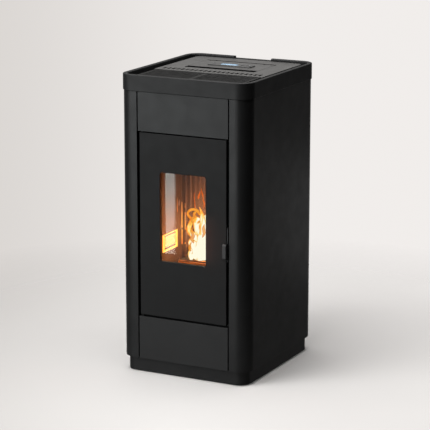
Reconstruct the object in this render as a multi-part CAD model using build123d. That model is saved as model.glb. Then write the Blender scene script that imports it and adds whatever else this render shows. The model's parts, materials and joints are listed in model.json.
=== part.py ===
from build123d import *
import math
import os

# Pellet stove, in millimetres. The origin is on the floor, in the middle of the plan.
# +X is to the right of someone facing the door, -Y is the front, +Z is up.

# ---------------------------------------------------------------- overall sizes
total_height = 1080.0
top_cover_height = 58.0
top_cover_overhang = 3.0
body_width = 504.0
body_depth = 558.0
corner_radius = 50.0
casing_sheet = 2.0

half_width = body_width / 2
half_depth = body_depth / 2
front_y = -half_depth
rear_y = half_depth
cover_half_width = half_width + top_cover_overhang
cover_half_depth = half_depth + top_cover_overhang
cover_bottom = total_height - top_cover_height

# ---------------------------------------------------------------- base
plinth_height = 53.0
plinth_inset = 12.0
plinth_sheet = 3.0
plinth_floor_gap = 2.0
base_plate_thickness = 3.0
base_top = plinth_height + base_plate_thickness

foot_radius = 20.0
foot_pad_height = 10.0
foot_chamfer = 2.5
foot_stud_radius = 5.0
foot_stud_reach = 10.0           # above the base plate
foot_nut_radius = 10.0
foot_nut_height = 5.0
foot_corner_offset = 62.0

# ---------------------------------------------------------------- casing
sheet_gap = 0.2
side_panel_wrap = 71.0           # how far a side panel wraps round the front
rear_wrap = 62.0                 # and round the back
rear_recess_depth = 38.0
panel_seam = 4.5
front_panel_lip = 18.0
lower_panel_height = 157.0
upper_panel_height = 139.0
front_frame_sheet = 3.0
front_frame_overlap = 22.0       # behind the side panel's edge
frame_top_gap = 10.0             # below the top cover

side_panel_edge = half_width - side_panel_wrap
rear_recess_half_width = half_width - rear_wrap
front_panel_half_width = side_panel_edge - panel_seam
lower_panel_top = plinth_height + lower_panel_height
upper_panel_bottom = cover_bottom - upper_panel_height
front_frame_half_width = side_panel_edge + front_frame_overlap
frame_top = cover_bottom - frame_top_gap

post_width = 24.0
post_depth = 14.0
post_sheet = 2.0

rear_panel_sheet = 2.0
rear_panel_overlap = 22.0
louvre_rows = 9
louvre_pitch = 18.0
louvre_slot = 7.0
louvre_length = 124.0
louvre_margin = 16.0             # from the recess's side
louvre_rise = 36.0               # of the first row, above the base plate
cooling_rows = 4
cooling_drop = 107.0             # of the first row, below the panel's top
cooling_half_length = 140.0

rear_panel_y = rear_y - rear_recess_depth
rear_panel_back = rear_panel_y + rear_panel_sheet
rear_panel_half_width = rear_recess_half_width + rear_panel_overlap
louvre_x0 = louvre_margin - rear_recess_half_width
louvre_first_z = base_top + louvre_rise
cooling_first_z = frame_top - cooling_drop

screw_radius = 4.0
screw_head = 2.2
screw_shank_radius = 2.0
screw_shank_length = 8.0
screw_inset_x = 9.0
screw_inset_z = 18.0
screw_rows = 5

# ---------------------------------------------------------------- door
door_side_gap = 6.0
door_gap_low = 8.0
door_gap_high = 5.0
door_sheet = 2.5
door_return_depth = 14.0
door_stile = 80.0                # beside the window
door_rail_low = 203.0
door_rail_high = 135.5
window_corner_radius = 9.0
glass_thickness = 4.0
glass_setback = 13.0
glass_overlap = 15.0
glass_gap = 0.3
frame_side_margin = 12.5
frame_edge_margin = 14.0
frame_strip = 13.0
collar_wall = 21.0
clip_length = 24.0
clip_width = 12.0
clip_plate = 2.0
clip_screw_radius = 3.2
seal_radius = 5.0
seal_inset = 7.0
seal_corner_radius = 22.0
seal_gap = 0.3

door_half_width = front_panel_half_width - door_side_gap
door_bottom = lower_panel_top + door_gap_low
door_top = upper_panel_bottom - door_gap_high
window_half_width = door_half_width - door_stile
window_bottom = door_bottom + door_rail_low
window_top = door_top - door_rail_high
glass_front_y = front_y + glass_setback
frame_back_y = glass_front_y + glass_thickness
frame_face_y = frame_back_y + 2 * seal_radius + seal_gap
frame_rear_y = frame_face_y + front_frame_sheet
frame_half_width = door_half_width - frame_side_margin
frame_bottom = door_bottom + frame_edge_margin
frame_upper = door_top - frame_edge_margin

hinge_edge = 7.5                 # from the door's left edge
hinge_setback = 8.0
hinge_pin_radius = 3.0
hinge_clearance = 0.08
hinge_tongue_width = 10.0
lower_tongue_height = 4.5
upper_tongue_height = 2.8
hinge_pin_length = 20.0
lug_height = 12.0
lug_gap = 2.0                    # between a lug and the door's folded edge
hinge_x = hinge_edge - door_half_width

handle_bar_gap = 1.1
handle_bar_thickness = 3.0
handle_bar_bottom = 447.0
handle_bar_top = 570.0
handle_bar_front = 3.0           # behind the door face
handle_bar_back = 17.0
handle_tab_reach = 10.6          # to the left of the bar
handle_tab_bottom = 456.0
handle_tab_top = 515.0
handle_tab_proud = 13.5
handle_tab_plate = 6.0
handle_corner = 9.0
handle_pivot_z = 562.0
handle_pivot_setback = 9.0
handle_pin_radius = 3.0
handle_pin_length = 14.0
handle_washer_radius = 5.4
pivot_boss_half = 12.0
pivot_boss_depth = 6.0
pivot_boss_gap = 1.0             # behind the door's sheet
catch_depth = 6.0
catch_width = 6.0
catch_offset = 1.0               # of the catch's left face, left of the bar's
handle_bar_x = door_half_width + handle_bar_gap
handle_tab_left = handle_bar_x - handle_tab_reach

# ---------------------------------------------------------------- top
rim_width = 17.0
rim_sheet = 2.5
rim_edge_radius = 2.4
rim_inner_radius = 4.0
plate_drop = 7.0
plate_sheet = 3.0
gutter_width = 24.0              # between the rim and the plate, on each side
gutter_depth = 15.0              # from the plate's top to the gutter's floor
plate_rear_gap = 13.0
plate_corner_radius = 24.0
ledge_width = 14.0
notch_left = -71.0
notch_right = 79.0
cover_lip = 15.0
grille_step = 6.0                # of a grille's side, inside the plate's
grille_rear_y = -87.0
grille_drop = 1.0
grille_sheet = 2.0
grille_edge = 7.0
grille_slot_length = 15.0
grille_slot_width = 9.0
grille_bar = 3.5
vent_slot_width = 11.0
vent_slot_length = 30.0
vent_slot_offset = 35.0          # behind the grilles
vent_slot_pitch = 18.0
vent_slot_margin = 16.0

plate_top = total_height - plate_drop
gutter_floor = plate_top - gutter_depth
plate_half_width = cover_half_width - rim_width - gutter_width
ledge_half_width = plate_half_width - ledge_width
grille_half_width = plate_half_width - grille_step
vent_slot_y = grille_rear_y + vent_slot_offset

lid_half_width = 138.5
lid_depth = 152.0
lid_rear_offset = 65.0           # in front of the rear panel
lid_sheet = 3.0
lid_side_gap = 1.5
lid_rear_gap = 11.0
finger_slot = 21.0
lid_hinge_inset = 4.0            # in front of the lid's rear edge
lid_hinge_drop = 4.0             # below the lid's top
lid_knuckle_radius = 4.0
lid_pin_radius = 2.0
lid_pin_clearance = 0.06
lid_knuckle_x = 110.0
lid_knuckle_length = 20.0
lid_ear_thickness = 4.0
lid_ear_gap = 0.5
collar_inset_x = 13.5
collar_inset_front = 8.0
collar_inset_rear = 16.0
hopper_sheet = 1.5
lid_seal_thickness = 8.0
lid_seal_width = 9.0

lid_rear_y = rear_panel_y - lid_rear_offset
lid_front_y = lid_rear_y - lid_depth
lid_hinge_y = lid_rear_y - lid_hinge_inset
lid_hinge_z = plate_top - lid_hinge_drop
lid_bottom = plate_top - lid_sheet
collar_half_width = lid_half_width - collar_inset_x
collar_front_y = lid_front_y + collar_inset_front
collar_rear_y = lid_rear_y - collar_inset_rear
collar_top = lid_bottom - lid_seal_thickness - seal_gap

panel_half_width = 87.0
panel_depth = 46.0
panel_offset = 54.0              # in front of the lid's rear edge
panel_corner_radius = 6.0
panel_bezel = 2.0
panel_proud = 3.5
panel_edge = 0.8
panel_box_depth = 14.0
panel_wall = 2.0
panel_gap = 0.3
display_half_width = 33.0
display_x = -7.0
display_depth = 22.0
display_sheet = 1.6
button_radius = 5.0
button_proud = 1.2
button_gap = 0.25
button_travel = 0.8
button_flange = 1.2
button_stem_height = 6.0
button_stem_radius = 2.5
button_left_x = -70.0
button_right_x = 44.0            # of the first of three
button_pitch = 15.0

panel_rear_y = lid_rear_y - panel_offset
panel_front_y = panel_rear_y - panel_depth
panel_middle_y = (panel_front_y + panel_rear_y) / 2
button_xs = (button_left_x, button_right_x, button_right_x + button_pitch,
             button_right_x + 2 * button_pitch)

# ---------------------------------------------------------------- fire
firebox_base_rise = 25.0         # above the door's bottom
firebox_top_drop = 63.0          # below the door's top
firebox_wall = 3.0
firebox_margin = 6.0             # beside the fire opening
firebox_offset = 261.0           # of its back, in front of the rear panel
seal_land = 18.0                 # from the door frame's side to the fire opening
fire_floor_rise = 87.0
liner_thickness = 15.0
liner_back_thickness = 16.0
liner_top_drop = 55.0
liner_gap = 0.3
rib_radius = 5.5
rib_pitch = 19.0
rib_margin = 30.0
baffle_thickness = 12.0
baffle_depth = 165.0
baffle_chamfer = 3.0
heat_fin_count = 9
heat_fin_height = 32.0
heat_fin_sheet = 4.0
heat_fin_base = 6.0
heat_fin_inset = 6.0

fire_opening_half_width = frame_half_width - seal_land
firebox_half_width = fire_opening_half_width + firebox_margin
firebox_rear_y = rear_panel_y - firebox_offset
firebox_bottom = door_bottom + firebox_base_rise
firebox_top = door_top - firebox_top_drop
fire_opening_bottom = firebox_bottom + firebox_wall
fire_opening_top = firebox_top - firebox_wall
fire_floor = firebox_bottom + fire_floor_rise
liner_top = firebox_top - liner_top_drop

pot_half_width = 44.0
pot_depth = 84.0
pot_offset = 80.0                # in front of the firebox's back
pot_wall = 3.0
pot_height = 74.0
pot_seat_drop = 7.0              # of the pot's bottom, below its seat
pot_seat_rise = 15.0             # of the seat, above the firebox's floor
pot_flange = 8.0
pot_flange_sheet = 4.0
pot_collar_overhang = 22.0       # of the broad rim, beyond the pot's sides
pot_collar_drop = 4.0            # below the pot's top
pot_collar_thickness = 8.0
pot_collar_corner = 6.0
pot_seat_gap = 0.3
pot_seat_wall = 5.0
pot_hole_radius = 3.0
pot_hole_pitch = 15.0
igniter_radius = 5.0
igniter_flange_radius = 12.0
igniter_drop = 36.0              # below the pot's rim
igniter_gap = 1.0
igniter_reach = 15.0             # behind the firebox

pot_rear_y = firebox_rear_y - pot_offset
pot_front_y = pot_rear_y - pot_depth
pot_seat = fire_floor + pot_seat_rise
pot_bottom = pot_seat - pot_seat_drop
pot_top = pot_bottom + pot_height
igniter_z = pot_top - igniter_drop

ash_side_gap = 20.0
ash_front_gap = 26.7
ash_rear_gap = 10.0
ash_height = 72.0
ash_sheet = 2.0
ash_floor_gap = 0.3
ash_handle_half = 35.0
ash_handle_reach = 14.0
ash_handle_radius = 3.0
ash_handle_z = 40.0
ash_half_width = fire_opening_half_width - ash_side_gap
ash_front_y = frame_rear_y + ash_front_gap
ash_rear_y = firebox_rear_y - ash_rear_gap

plenum_inset = 12.0              # inside the grilles' width
plenum_sheet = 1.5
plenum_front_gap = 2.7
plenum_rear_gap = 3.0
plenum_lip = 10.0
plenum_half_width = grille_half_width - plenum_inset
plenum_front_y = frame_rear_y + plenum_front_gap
plenum_rear_y = grille_rear_y - plenum_rear_gap

# ---------------------------------------------------------------- smoke and air
flue_inset = 46.0                # of the flue's axis, inside the firebox's side
flue_radius = 40.0
flue_wall = 2.0
flue_collar = 8.0
spigot_root = 2.0                # a thicker ring where a pipe passes the rear panel
smoke_duct_half = 38.0
smoke_duct_depth = 32.0
smoke_duct_wall = 2.0
smoke_window_rise = 16.0         # above the liner's top
flue_x = firebox_half_width - flue_inset
smoke_duct_x0 = flue_x - smoke_duct_half
smoke_duct_x1 = flue_x + smoke_duct_half
smoke_window_bottom = liner_top + smoke_window_rise
spigot_y = half_depth + handle_tab_proud   # as far behind as the handle stands in front

exhaust_offset = 25.0            # behind the firebox
exhaust_rise = 109.0             # above the base plate
exhaust_radius = 60.0
exhaust_half_length = 28.0
exhaust_wall = 2.5
exhaust_rotor_radius = 48.0
exhaust_blades = 8
exhaust_hub_radius = 12.0
exhaust_motor_radius = 34.0
exhaust_motor_length = 52.0
exhaust_y = firebox_rear_y + exhaust_offset
exhaust_z = base_top + exhaust_rise
exhaust_x0 = flue_x - exhaust_half_length
exhaust_x1 = flue_x + exhaust_half_length

fan_side_gap = 6.0
fan_shaft_radius = 4.0
fan_shaft_clearance = 0.06
fan_leg_width = 16.0
fan_disc = 2.0
fan_blade_depth = 19.0
motor_boss_radius = 17.0
motor_boss_length = 6.0
motor_edge_radius = 3.0

air_pipe_radius = 25.0
air_pipe_rise = 42.0             # above the firebox's bottom
air_pipe_wall = 1.5
air_pipe_z = firebox_bottom + air_pipe_rise

room_fan_offset = 163.0          # in front of the rear panel
room_fan_rise = 116.0            # above the base plate
room_fan_radius = 66.0
room_fan_margin = 52.0           # from the casing's left side
room_fan_length = 144.0
room_fan_wall = 1.5
room_fan_rotor_radius = 52.0
room_fan_blades = 16
room_fan_hub_radius = 8.0
room_fan_inlet_radius = 36.0
room_fan_spout_depth = 40.0
room_fan_spout_rise = 90.0       # above its axis
room_fan_motor_radius = 28.0
room_fan_motor_length = 30.0
room_fan_y = rear_panel_y - room_fan_offset
room_fan_z = base_top + room_fan_rise
room_fan_x0 = room_fan_margin - half_width
room_fan_x1 = room_fan_x0 + room_fan_length
room_fan_spout_top = room_fan_z + room_fan_spout_rise

# ---------------------------------------------------------------- pellet feed
hopper_rear_gap = 26.0
hopper_depth = 193.0
hopper_bin_height = 292.0
hopper_throat_top = 560.0
hopper_throat_half = 22.0
hopper_throat_offset = 15.0      # in front of the auger's low end
hopper_flange_drop = 21.0        # flange top below the plate's top
hopper_bracket_x = 60.0
hopper_bracket_half = 10.0
hopper_bracket_drop = 120.0
hopper_bracket_height = 6.0
guard_drop = 18.0
guard_bar = 3.0
guard_bars = 12
guard_gap = 0.3

auger_offset = 76.0              # of its low end, in front of the rear panel
auger_low_z = 470.0
auger_length = 205.0
auger_tube_radius = 27.0
auger_tube_wall = 2.5
auger_screw_radius = 22.0
auger_shaft_radius = 8.0
auger_flight = 2.5
auger_flight_root = 1.0          # how deep the flight is set into the shaft
auger_pitch = 38.0
auger_turns = 4
auger_bush_clearance = 0.05
auger_cap = 6.0
auger_motor_radius = 22.0
auger_motor_length = 40.0
auger_gear_size = 50.0
auger_gear_length = 24.0
chute_offset = 178.0             # along the auger from its low end
chute_radius = 20.0
chute_wall = 2.0
chute_reach = 122.0
chute_gap = 0.5

hopper_rear_y = rear_panel_y - hopper_rear_gap
hopper_front_y = hopper_rear_y - hopper_depth
hopper_flange_top = plate_top - hopper_flange_drop
hopper_bin_bottom = hopper_flange_top - hopper_bin_height
auger_low_y = rear_panel_y - auger_offset
hopper_throat_y = auger_low_y - hopper_throat_offset
slope = math.sqrt(0.5)           # the auger rises at 45 degrees towards the front

# ---------------------------------------------------------------- electrics
service_margin = 40.0            # of the inlet's middle, from the recess's side
inlet_z = 300.0
inlet_width = 30.0
inlet_height = 24.0
inlet_depth = 28.0
inlet_wall = 2.5
inlet_flange = 6.0
inlet_pin_radius = 1.6
inlet_pin_length = 21.6
inlet_pin_pitch = 7.0
inlet_pin_offset = 2.0
rocker_z = 342.0
rocker_half_width = 9.0
rocker_half_height = 12.0
rocker_depth = 14.0
rocker_gap = 0.4
rocker_end_gap = 1.4
rocker_pin_radius = 1.5
rocker_pin_length = 3.0
rocker_tilt = 9.0
rocker_setback = 4.0             # of its pivot, from the panel's back
rocker_tail = 3.0
rocker_tail_half = 5.0
rocker_shoulder = 1.5
rocker_crest_flat = 0.6
rocker_dip = 2.2
thermostat_z = 390.0
thermostat_radius = 12.0
thermostat_depth = 20.0
thermostat_neck_radius = 7.0
thermostat_neck_reach = 8.0
thermostat_nut_radius = 10.0
thermostat_nut_height = 4.0
reset_radius = 3.5
reset_gap = 0.2
reset_proud = 1.5
reset_bore_depth = 10.0
reset_pin_start = 3.0            # in front of the bore's end
service_x = service_margin - rear_recess_half_width

board_margin = 10.0
board_width = 120.0
board_z0 = 290.0
board_height = 130.0
board_sheet = 1.6
board_standoff = 9.0
board_pad_inset = 8.0
relay_size = 14.0
relay_pitch = 21.0
relay_count = 4
board_x1 = rear_recess_half_width - board_margin
board_x0 = board_x1 - board_width
board_z1 = board_z0 + board_height


# ---------------------------------------------------------------- small helpers
def block(x0, x1, y0, y1, z0, z1):
    """A box given by its limits."""
    middle = ((x0 + x1) / 2, (y0 + y1) / 2, (z0 + z1) / 2)
    return Pos(*middle) * Box(x1 - x0, y1 - y0, z1 - z0)


def both_sides(x0, x1, y0, y1, z0, z1):
    """The same box on the right and, mirrored, on the left."""
    return block(x0, x1, y0, y1, z0, z1) + block(-x1, -x0, y0, y1, z0, z1)


def rod(axis, centre, radius, start, end):
    """A cylinder along X, Y or Z; centre gives the two other coordinates."""
    length = end - start
    middle = (start + end) / 2
    if axis == "X":
        return Pos(middle, *centre) * Rot(0, 90, 0) * Cylinder(radius, length)
    if axis == "Y":
        return Pos(centre[0], middle, centre[1]) * Rot(90, 0, 0) * Cylinder(radius, length)
    return Pos(*centre, middle) * Cylinder(radius, length)


def prism(width, depth, radius, z0, z1, centre_y=0.0):
    """An upright prism with rounded vertical corners."""
    outline = Pos(0, centre_y, z0) * RectangleRounded(width, depth, radius)
    return extrude(outline, amount=z1 - z0)


def window_prism(half, z0, z1, radius, y0, y1):
    """A prism along Y with rounded corners, for window openings."""
    outline = Pos(0, y1, (z0 + z1) / 2) * Rot(90, 0, 0) * RectangleRounded(2 * half, z1 - z0, radius)
    return extrude(outline, amount=y1 - y0)


def auger_place(distance):
    """A frame on the auger's axis, with its Z along the axis towards the top."""
    along = (0, auger_low_y - distance * slope, auger_low_z + distance * slope)
    return Pos(*along) * Rot(45, 0, 0)


def save(name, solids):
    """One file for each sub-part; a list makes a group of separate solids."""
    shape = Compound(children=solids) if isinstance(solids, list) else solids
    export_step(shape, f"parts/{name}.step")


# ---------------------------------------------------------------- base
def base_plinth():
    outer_width = body_width - 2 * plinth_inset
    outer_depth = body_depth - 2 * plinth_inset
    radius = corner_radius - plinth_inset
    wall = prism(outer_width, outer_depth, radius, plinth_floor_gap, plinth_height)
    inner_width = outer_width - 2 * plinth_sheet
    inner_depth = outer_depth - 2 * plinth_sheet
    wall -= prism(inner_width, inner_depth, radius - plinth_sheet, 0, plinth_height)
    return wall


def foot_places():
    fx = half_width - foot_corner_offset
    fy = half_depth - foot_corner_offset
    return [(sx * fx, sy * fy) for sx in (-1, 1) for sy in (-1, 1)]


def levelling_feet():
    feet = []
    for place in foot_places():
        pad = rod("Z", place, foot_radius, 0, foot_pad_height)
        pad = chamfer(pad.edges().group_by(Axis.Z)[-1], foot_chamfer)
        stud = rod("Z", place, foot_stud_radius, foot_pad_height, base_top + foot_stud_reach)
        nut = Pos(*place, plinth_height - foot_nut_height)
        nut = nut * extrude(RegularPolygon(foot_nut_radius, 6), amount=foot_nut_height)
        feet.append(pad + stud + nut)
    return feet


def base_plate():
    inner = casing_sheet + sheet_gap
    plate = prism(body_width - 2 * inner, body_depth - 2 * inner, corner_radius - inner,
                  plinth_height, base_top)
    for place in foot_places():
        plate -= rod("Z", place, foot_stud_radius + sheet_gap, plinth_height, base_top)
    return plate


# ---------------------------------------------------------------- casing
def side_panel(side):
    """A sheet that wraps round the front and back corners, with a flange at each end."""
    wall = prism(body_width, body_depth, corner_radius, plinth_height, cover_bottom)
    wall -= prism(body_width - 2 * casing_sheet, body_depth - 2 * casing_sheet,
                  corner_radius - casing_sheet, plinth_height, cover_bottom)
    front = block(side_panel_edge, half_width, front_y, 0, plinth_height, cover_bottom)
    back = block(rear_recess_half_width, half_width, 0, rear_y, plinth_height, cover_bottom)
    panel = wall & (front + back)
    panel += block(side_panel_edge, side_panel_edge + casing_sheet, front_y, frame_face_y,
                   base_top, cover_bottom)
    panel += block(rear_recess_half_width, rear_recess_half_width + casing_sheet,
                   rear_panel_back, rear_y, base_top, cover_bottom)
    return panel if side > 0 else mirror(panel, about=Plane.YZ)


def front_panel(z0, z1):
    """A folded tray: its face, two flanges back to the front frame, and two short lips."""
    width = front_panel_half_width
    fold_z0 = max(z0, base_top)
    panel = block(-width, width, front_y, front_y + casing_sheet, z0, z1)
    panel += both_sides(width - casing_sheet, width, front_y, frame_face_y, fold_z0, z1)
    for low in (fold_z0, z1 - casing_sheet):
        panel += block(-width, width, front_y, front_y + front_panel_lip, low, low + casing_sheet)
    return panel


def front_frame():
    plate = block(-front_frame_half_width, front_frame_half_width, frame_face_y, frame_rear_y,
                  base_top, frame_top)
    plate -= block(-fire_opening_half_width, fire_opening_half_width, frame_face_y, frame_rear_y,
                   fire_opening_bottom, fire_opening_top)
    return plate


def rear_posts():
    posts = []
    outer = rear_panel_half_width
    for side in (-1, 1):
        inner = outer - post_width
        leg = block(inner, outer, rear_panel_y - post_sheet, rear_panel_y, base_top, frame_top)
        leg += block(outer - post_sheet, outer, rear_panel_y - post_depth, rear_panel_y,
                     base_top, frame_top)
        posts.append(leg if side > 0 else mirror(leg, about=Plane.YZ))
    return posts


def rear_panel():
    back = rear_panel_back
    panel = block(-rear_panel_half_width, rear_panel_half_width, rear_panel_y, back,
                  base_top, frame_top)
    ring = spigot_root + sheet_gap
    panel -= rod("Y", (flue_x, exhaust_z), flue_radius + ring, rear_panel_y, back)
    panel -= rod("Y", (0, air_pipe_z), air_pipe_radius + ring, rear_panel_y, back)
    for row in range(louvre_rows):
        low = louvre_first_z + row * louvre_pitch
        panel -= block(louvre_x0, louvre_x0 + louvre_length, rear_panel_y, back,
                       low, low + louvre_slot)
    for row in range(cooling_rows):
        low = cooling_first_z + row * louvre_pitch
        panel -= block(-cooling_half_length, cooling_half_length, rear_panel_y, back,
                       low, low + louvre_slot)
    inlet_x = inlet_width / 2 + sheet_gap
    inlet_half = inlet_height / 2 + sheet_gap
    panel -= block(service_x - inlet_x, service_x + inlet_x, rear_panel_y, back,
                   inlet_z - inlet_half, inlet_z + inlet_half)
    rocker_x = rocker_half_width + inlet_wall + sheet_gap
    rocker_half = rocker_half_height + inlet_wall + sheet_gap
    panel -= block(service_x - rocker_x, service_x + rocker_x, rear_panel_y, back,
                   rocker_z - rocker_half, rocker_z + rocker_half)
    panel -= rod("Y", (service_x, thermostat_z), thermostat_neck_radius + sheet_gap,
                 rear_panel_y, back)
    for x, z in screw_places():
        panel -= rod("Y", (x, z), screw_shank_radius + sheet_gap, rear_panel_y, back)
    return panel


def screw_places():
    x = rear_recess_half_width - screw_inset_x
    low = base_top + screw_inset_z
    high = frame_top - screw_inset_z
    step = (high - low) / (screw_rows - 1)
    return [(side * x, low + row * step) for side in (-1, 1) for row in range(screw_rows)]


def rear_screws():
    back = rear_panel_back
    screws = []
    for place in screw_places():
        head = rod("Y", place, screw_radius, back, back + screw_head)
        head = fillet(head.edges().group_by(Axis.Y)[-1], screw_head / 2)
        screws.append(head + rod("Y", place, screw_shank_radius, back - screw_shank_length, back))
    return screws


# ---------------------------------------------------------------- top
def top_cover():
    """A folded ring: skirt, flat rim, inner wall, gutter floor and bottom lip."""
    def ring(inset, low, high):
        return prism(2 * (cover_half_width - inset), 2 * (cover_half_depth - inset),
                     corner_radius + top_cover_overhang - inset, low, high)

    skirt = ring(0, cover_bottom, total_height)
    skirt = fillet(skirt.edges().group_by(Axis.Z)[-1], rim_edge_radius)
    skirt = fillet(skirt.edges().group_by(Axis.Z)[0], rim_edge_radius)
    cover = skirt - ring(rim_sheet, cover_bottom + rim_sheet, total_height - rim_sheet)
    cover -= ring(rim_width, total_height - rim_sheet, total_height)
    cover -= ring(cover_lip, cover_bottom, cover_bottom + rim_sheet)
    cover += (ring(rim_width - rim_sheet, gutter_floor - rim_sheet, total_height - rim_sheet)
              - ring(rim_width, gutter_floor, total_height)
              - ledge_opening())
    inner_edge = [edge for edge in cover.edges().group_by(Axis.Z)[-1]
                  if half_extent(edge, Axis.X) < cover_half_width - rim_width + sheet_gap
                  and half_extent(edge, Axis.Y) < cover_half_depth - rim_width + sheet_gap]
    cover = fillet(inner_edge, rim_inner_radius)
    cover -= block(notch_left, notch_right, cover_half_depth - rim_width,
                   cover_half_depth, plate_top, total_height)
    cover += block(notch_left, notch_right, cover_half_depth - rim_width,
                   cover_half_depth, plate_top - rim_sheet, plate_top)
    return cover


def half_extent(edge, axis):
    """How far an edge gets from the middle, along one axis."""
    box = edge.bounding_box()
    low, high = (box.min.X, box.max.X) if axis == Axis.X else (box.min.Y, box.max.Y)
    return max(-low, high)


def ledge_opening():
    front = front_y + 2 * rim_width - rim_sheet
    back = cover_half_depth - rim_width - 2 * plate_rear_gap
    return block(-ledge_half_width, ledge_half_width, front, back,
                 gutter_floor - rim_sheet, gutter_floor)


def top_plate():
    """The plate that carries the lid, with folded edges that stand on the gutter's floor."""
    back = cover_half_depth - rim_width - plate_rear_gap
    plate = block(-plate_half_width, plate_half_width, grille_rear_y, back, gutter_floor, plate_top)
    plate = fillet(plate.edges().filter_by(Axis.Z).group_by(Axis.Y)[-1], plate_corner_radius)
    inside = block(-plate_half_width + plate_sheet, plate_half_width - plate_sheet,
                   grille_rear_y + plate_sheet, back - plate_sheet,
                   gutter_floor, plate_top - plate_sheet)
    plate -= fillet(inside.edges().filter_by(Axis.Z).group_by(Axis.Y)[-1],
                    plate_corner_radius - plate_sheet)
    slots = int(2 * (plate_half_width - vent_slot_margin) / vent_slot_pitch)
    for index in range(slots):
        x = (index - (slots - 1) / 2) * vent_slot_pitch
        plate -= block(x - vent_slot_width / 2, x + vent_slot_width / 2,
                       vent_slot_y - vent_slot_length / 2, vent_slot_y + vent_slot_length / 2,
                       gutter_floor, plate_top)
    # the lid's opening, with a folded edge down to the hopper's flange
    half = lid_half_width + lid_side_gap
    front = lid_front_y - finger_slot
    rear = lid_rear_y + lid_rear_gap
    well = block(-half - plate_sheet, half + plate_sheet, front - plate_sheet, rear + plate_sheet,
                 hopper_flange_top, plate_top)
    plate += well
    plate -= block(-half, half, front, rear, hopper_flange_top, plate_top)
    for side in (-1, 1):
        for end in (-1, 1):
            near = lid_knuckle_length / 2 + lid_ear_gap
            x0 = side * lid_knuckle_x + end * near
            x1 = x0 + end * lid_ear_thickness
            ear = rod("X", (lid_hinge_y, lid_hinge_z), lid_knuckle_radius, min(x0, x1), max(x0, x1))
            ear += block(min(x0, x1), max(x0, x1), lid_hinge_y, rear,
                         lid_hinge_z - lid_knuckle_radius, lid_hinge_z)
            ear -= rod("X", (lid_hinge_y, lid_hinge_z), lid_pin_radius, min(x0, x1), max(x0, x1))
            plate += ear
    return plate


def air_grille(side):
    """One half of the warm-air outlet: a slotted sheet with folded edges."""
    top = plate_top - grille_drop
    front = -cover_half_depth + rim_width + sheet_gap
    back = grille_rear_y - sheet_gap
    x0 = sheet_gap
    x1 = grille_half_width
    tray = block(x0, x1, front, back, gutter_floor, top)
    tray -= block(x0 + grille_sheet, x1 - grille_sheet, front + grille_sheet, back - grille_sheet,
                  gutter_floor, top - grille_sheet)
    step_x = grille_slot_length + grille_bar
    step_y = grille_slot_width + grille_bar
    columns = int((x1 - x0 - 2 * grille_edge + grille_bar) / step_x)
    rows = int((back - front - 2 * grille_edge + grille_bar) / step_y)
    middle_x = (x0 + x1) / 2
    middle_y = (front + back) / 2
    tray -= [block(-grille_slot_length / 2, grille_slot_length / 2,
                   -grille_slot_width / 2, grille_slot_width / 2,
                   top - 2 * grille_sheet, top + grille_sheet).moved(Location((x, y, 0)))
             for x in [middle_x + (c - (columns - 1) / 2) * step_x for c in range(columns)]
             for y in [middle_y + (r - (rows - 1) / 2) * step_y for r in range(rows)]]
    # the corner follows the cover's rounded corner
    inner_radius = corner_radius + top_cover_overhang - rim_width
    tray &= prism(2 * (cover_half_width - rim_width - sheet_gap),
                  2 * (cover_half_depth - rim_width - sheet_gap), inner_radius,
                  gutter_floor, top)
    return tray if side > 0 else mirror(tray, about=Plane.YZ)


# ---------------------------------------------------------------- lid and controls
def hopper_lid():
    lid = block(-lid_half_width, lid_half_width, lid_front_y, lid_rear_y, lid_bottom, plate_top)
    lid -= block(-panel_half_width + panel_wall, panel_half_width - panel_wall,
                 panel_front_y + panel_wall, panel_rear_y - panel_wall, lid_bottom, plate_top)
    for side in (-1, 1):
        x0 = side * lid_knuckle_x - lid_knuckle_length / 2
        x1 = x0 + lid_knuckle_length
        lid += rod("X", (lid_hinge_y, lid_hinge_z), lid_knuckle_radius, x0, x1)
        ear_x0 = x0 - lid_ear_gap - lid_ear_thickness - lid_ear_gap
        ear_x1 = x1 + lid_ear_gap + lid_ear_thickness + lid_ear_gap
        reach = lid_knuckle_radius + lid_ear_gap
        lid -= block(ear_x0, x0, lid_hinge_y - reach, lid_rear_y, lid_bottom, plate_top)
        lid -= block(x1, ear_x1, lid_hinge_y - reach, lid_rear_y, lid_bottom, plate_top)
        lid -= rod("X", (lid_hinge_y, lid_hinge_z), lid_pin_radius + lid_pin_clearance, x0, x1)
    return lid


def lid_seal():
    half = collar_half_width + hopper_sheet / 2 + lid_seal_width / 2
    front = collar_front_y + hopper_sheet / 2 - lid_seal_width / 2
    rear = collar_rear_y - hopper_sheet / 2 + lid_seal_width / 2
    low = lid_bottom - lid_seal_thickness
    ring = block(-half, half, front, rear, low, lid_bottom)
    ring -= block(-half + lid_seal_width, half - lid_seal_width, front + lid_seal_width,
                  rear - lid_seal_width, low, lid_bottom)
    return ring


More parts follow.
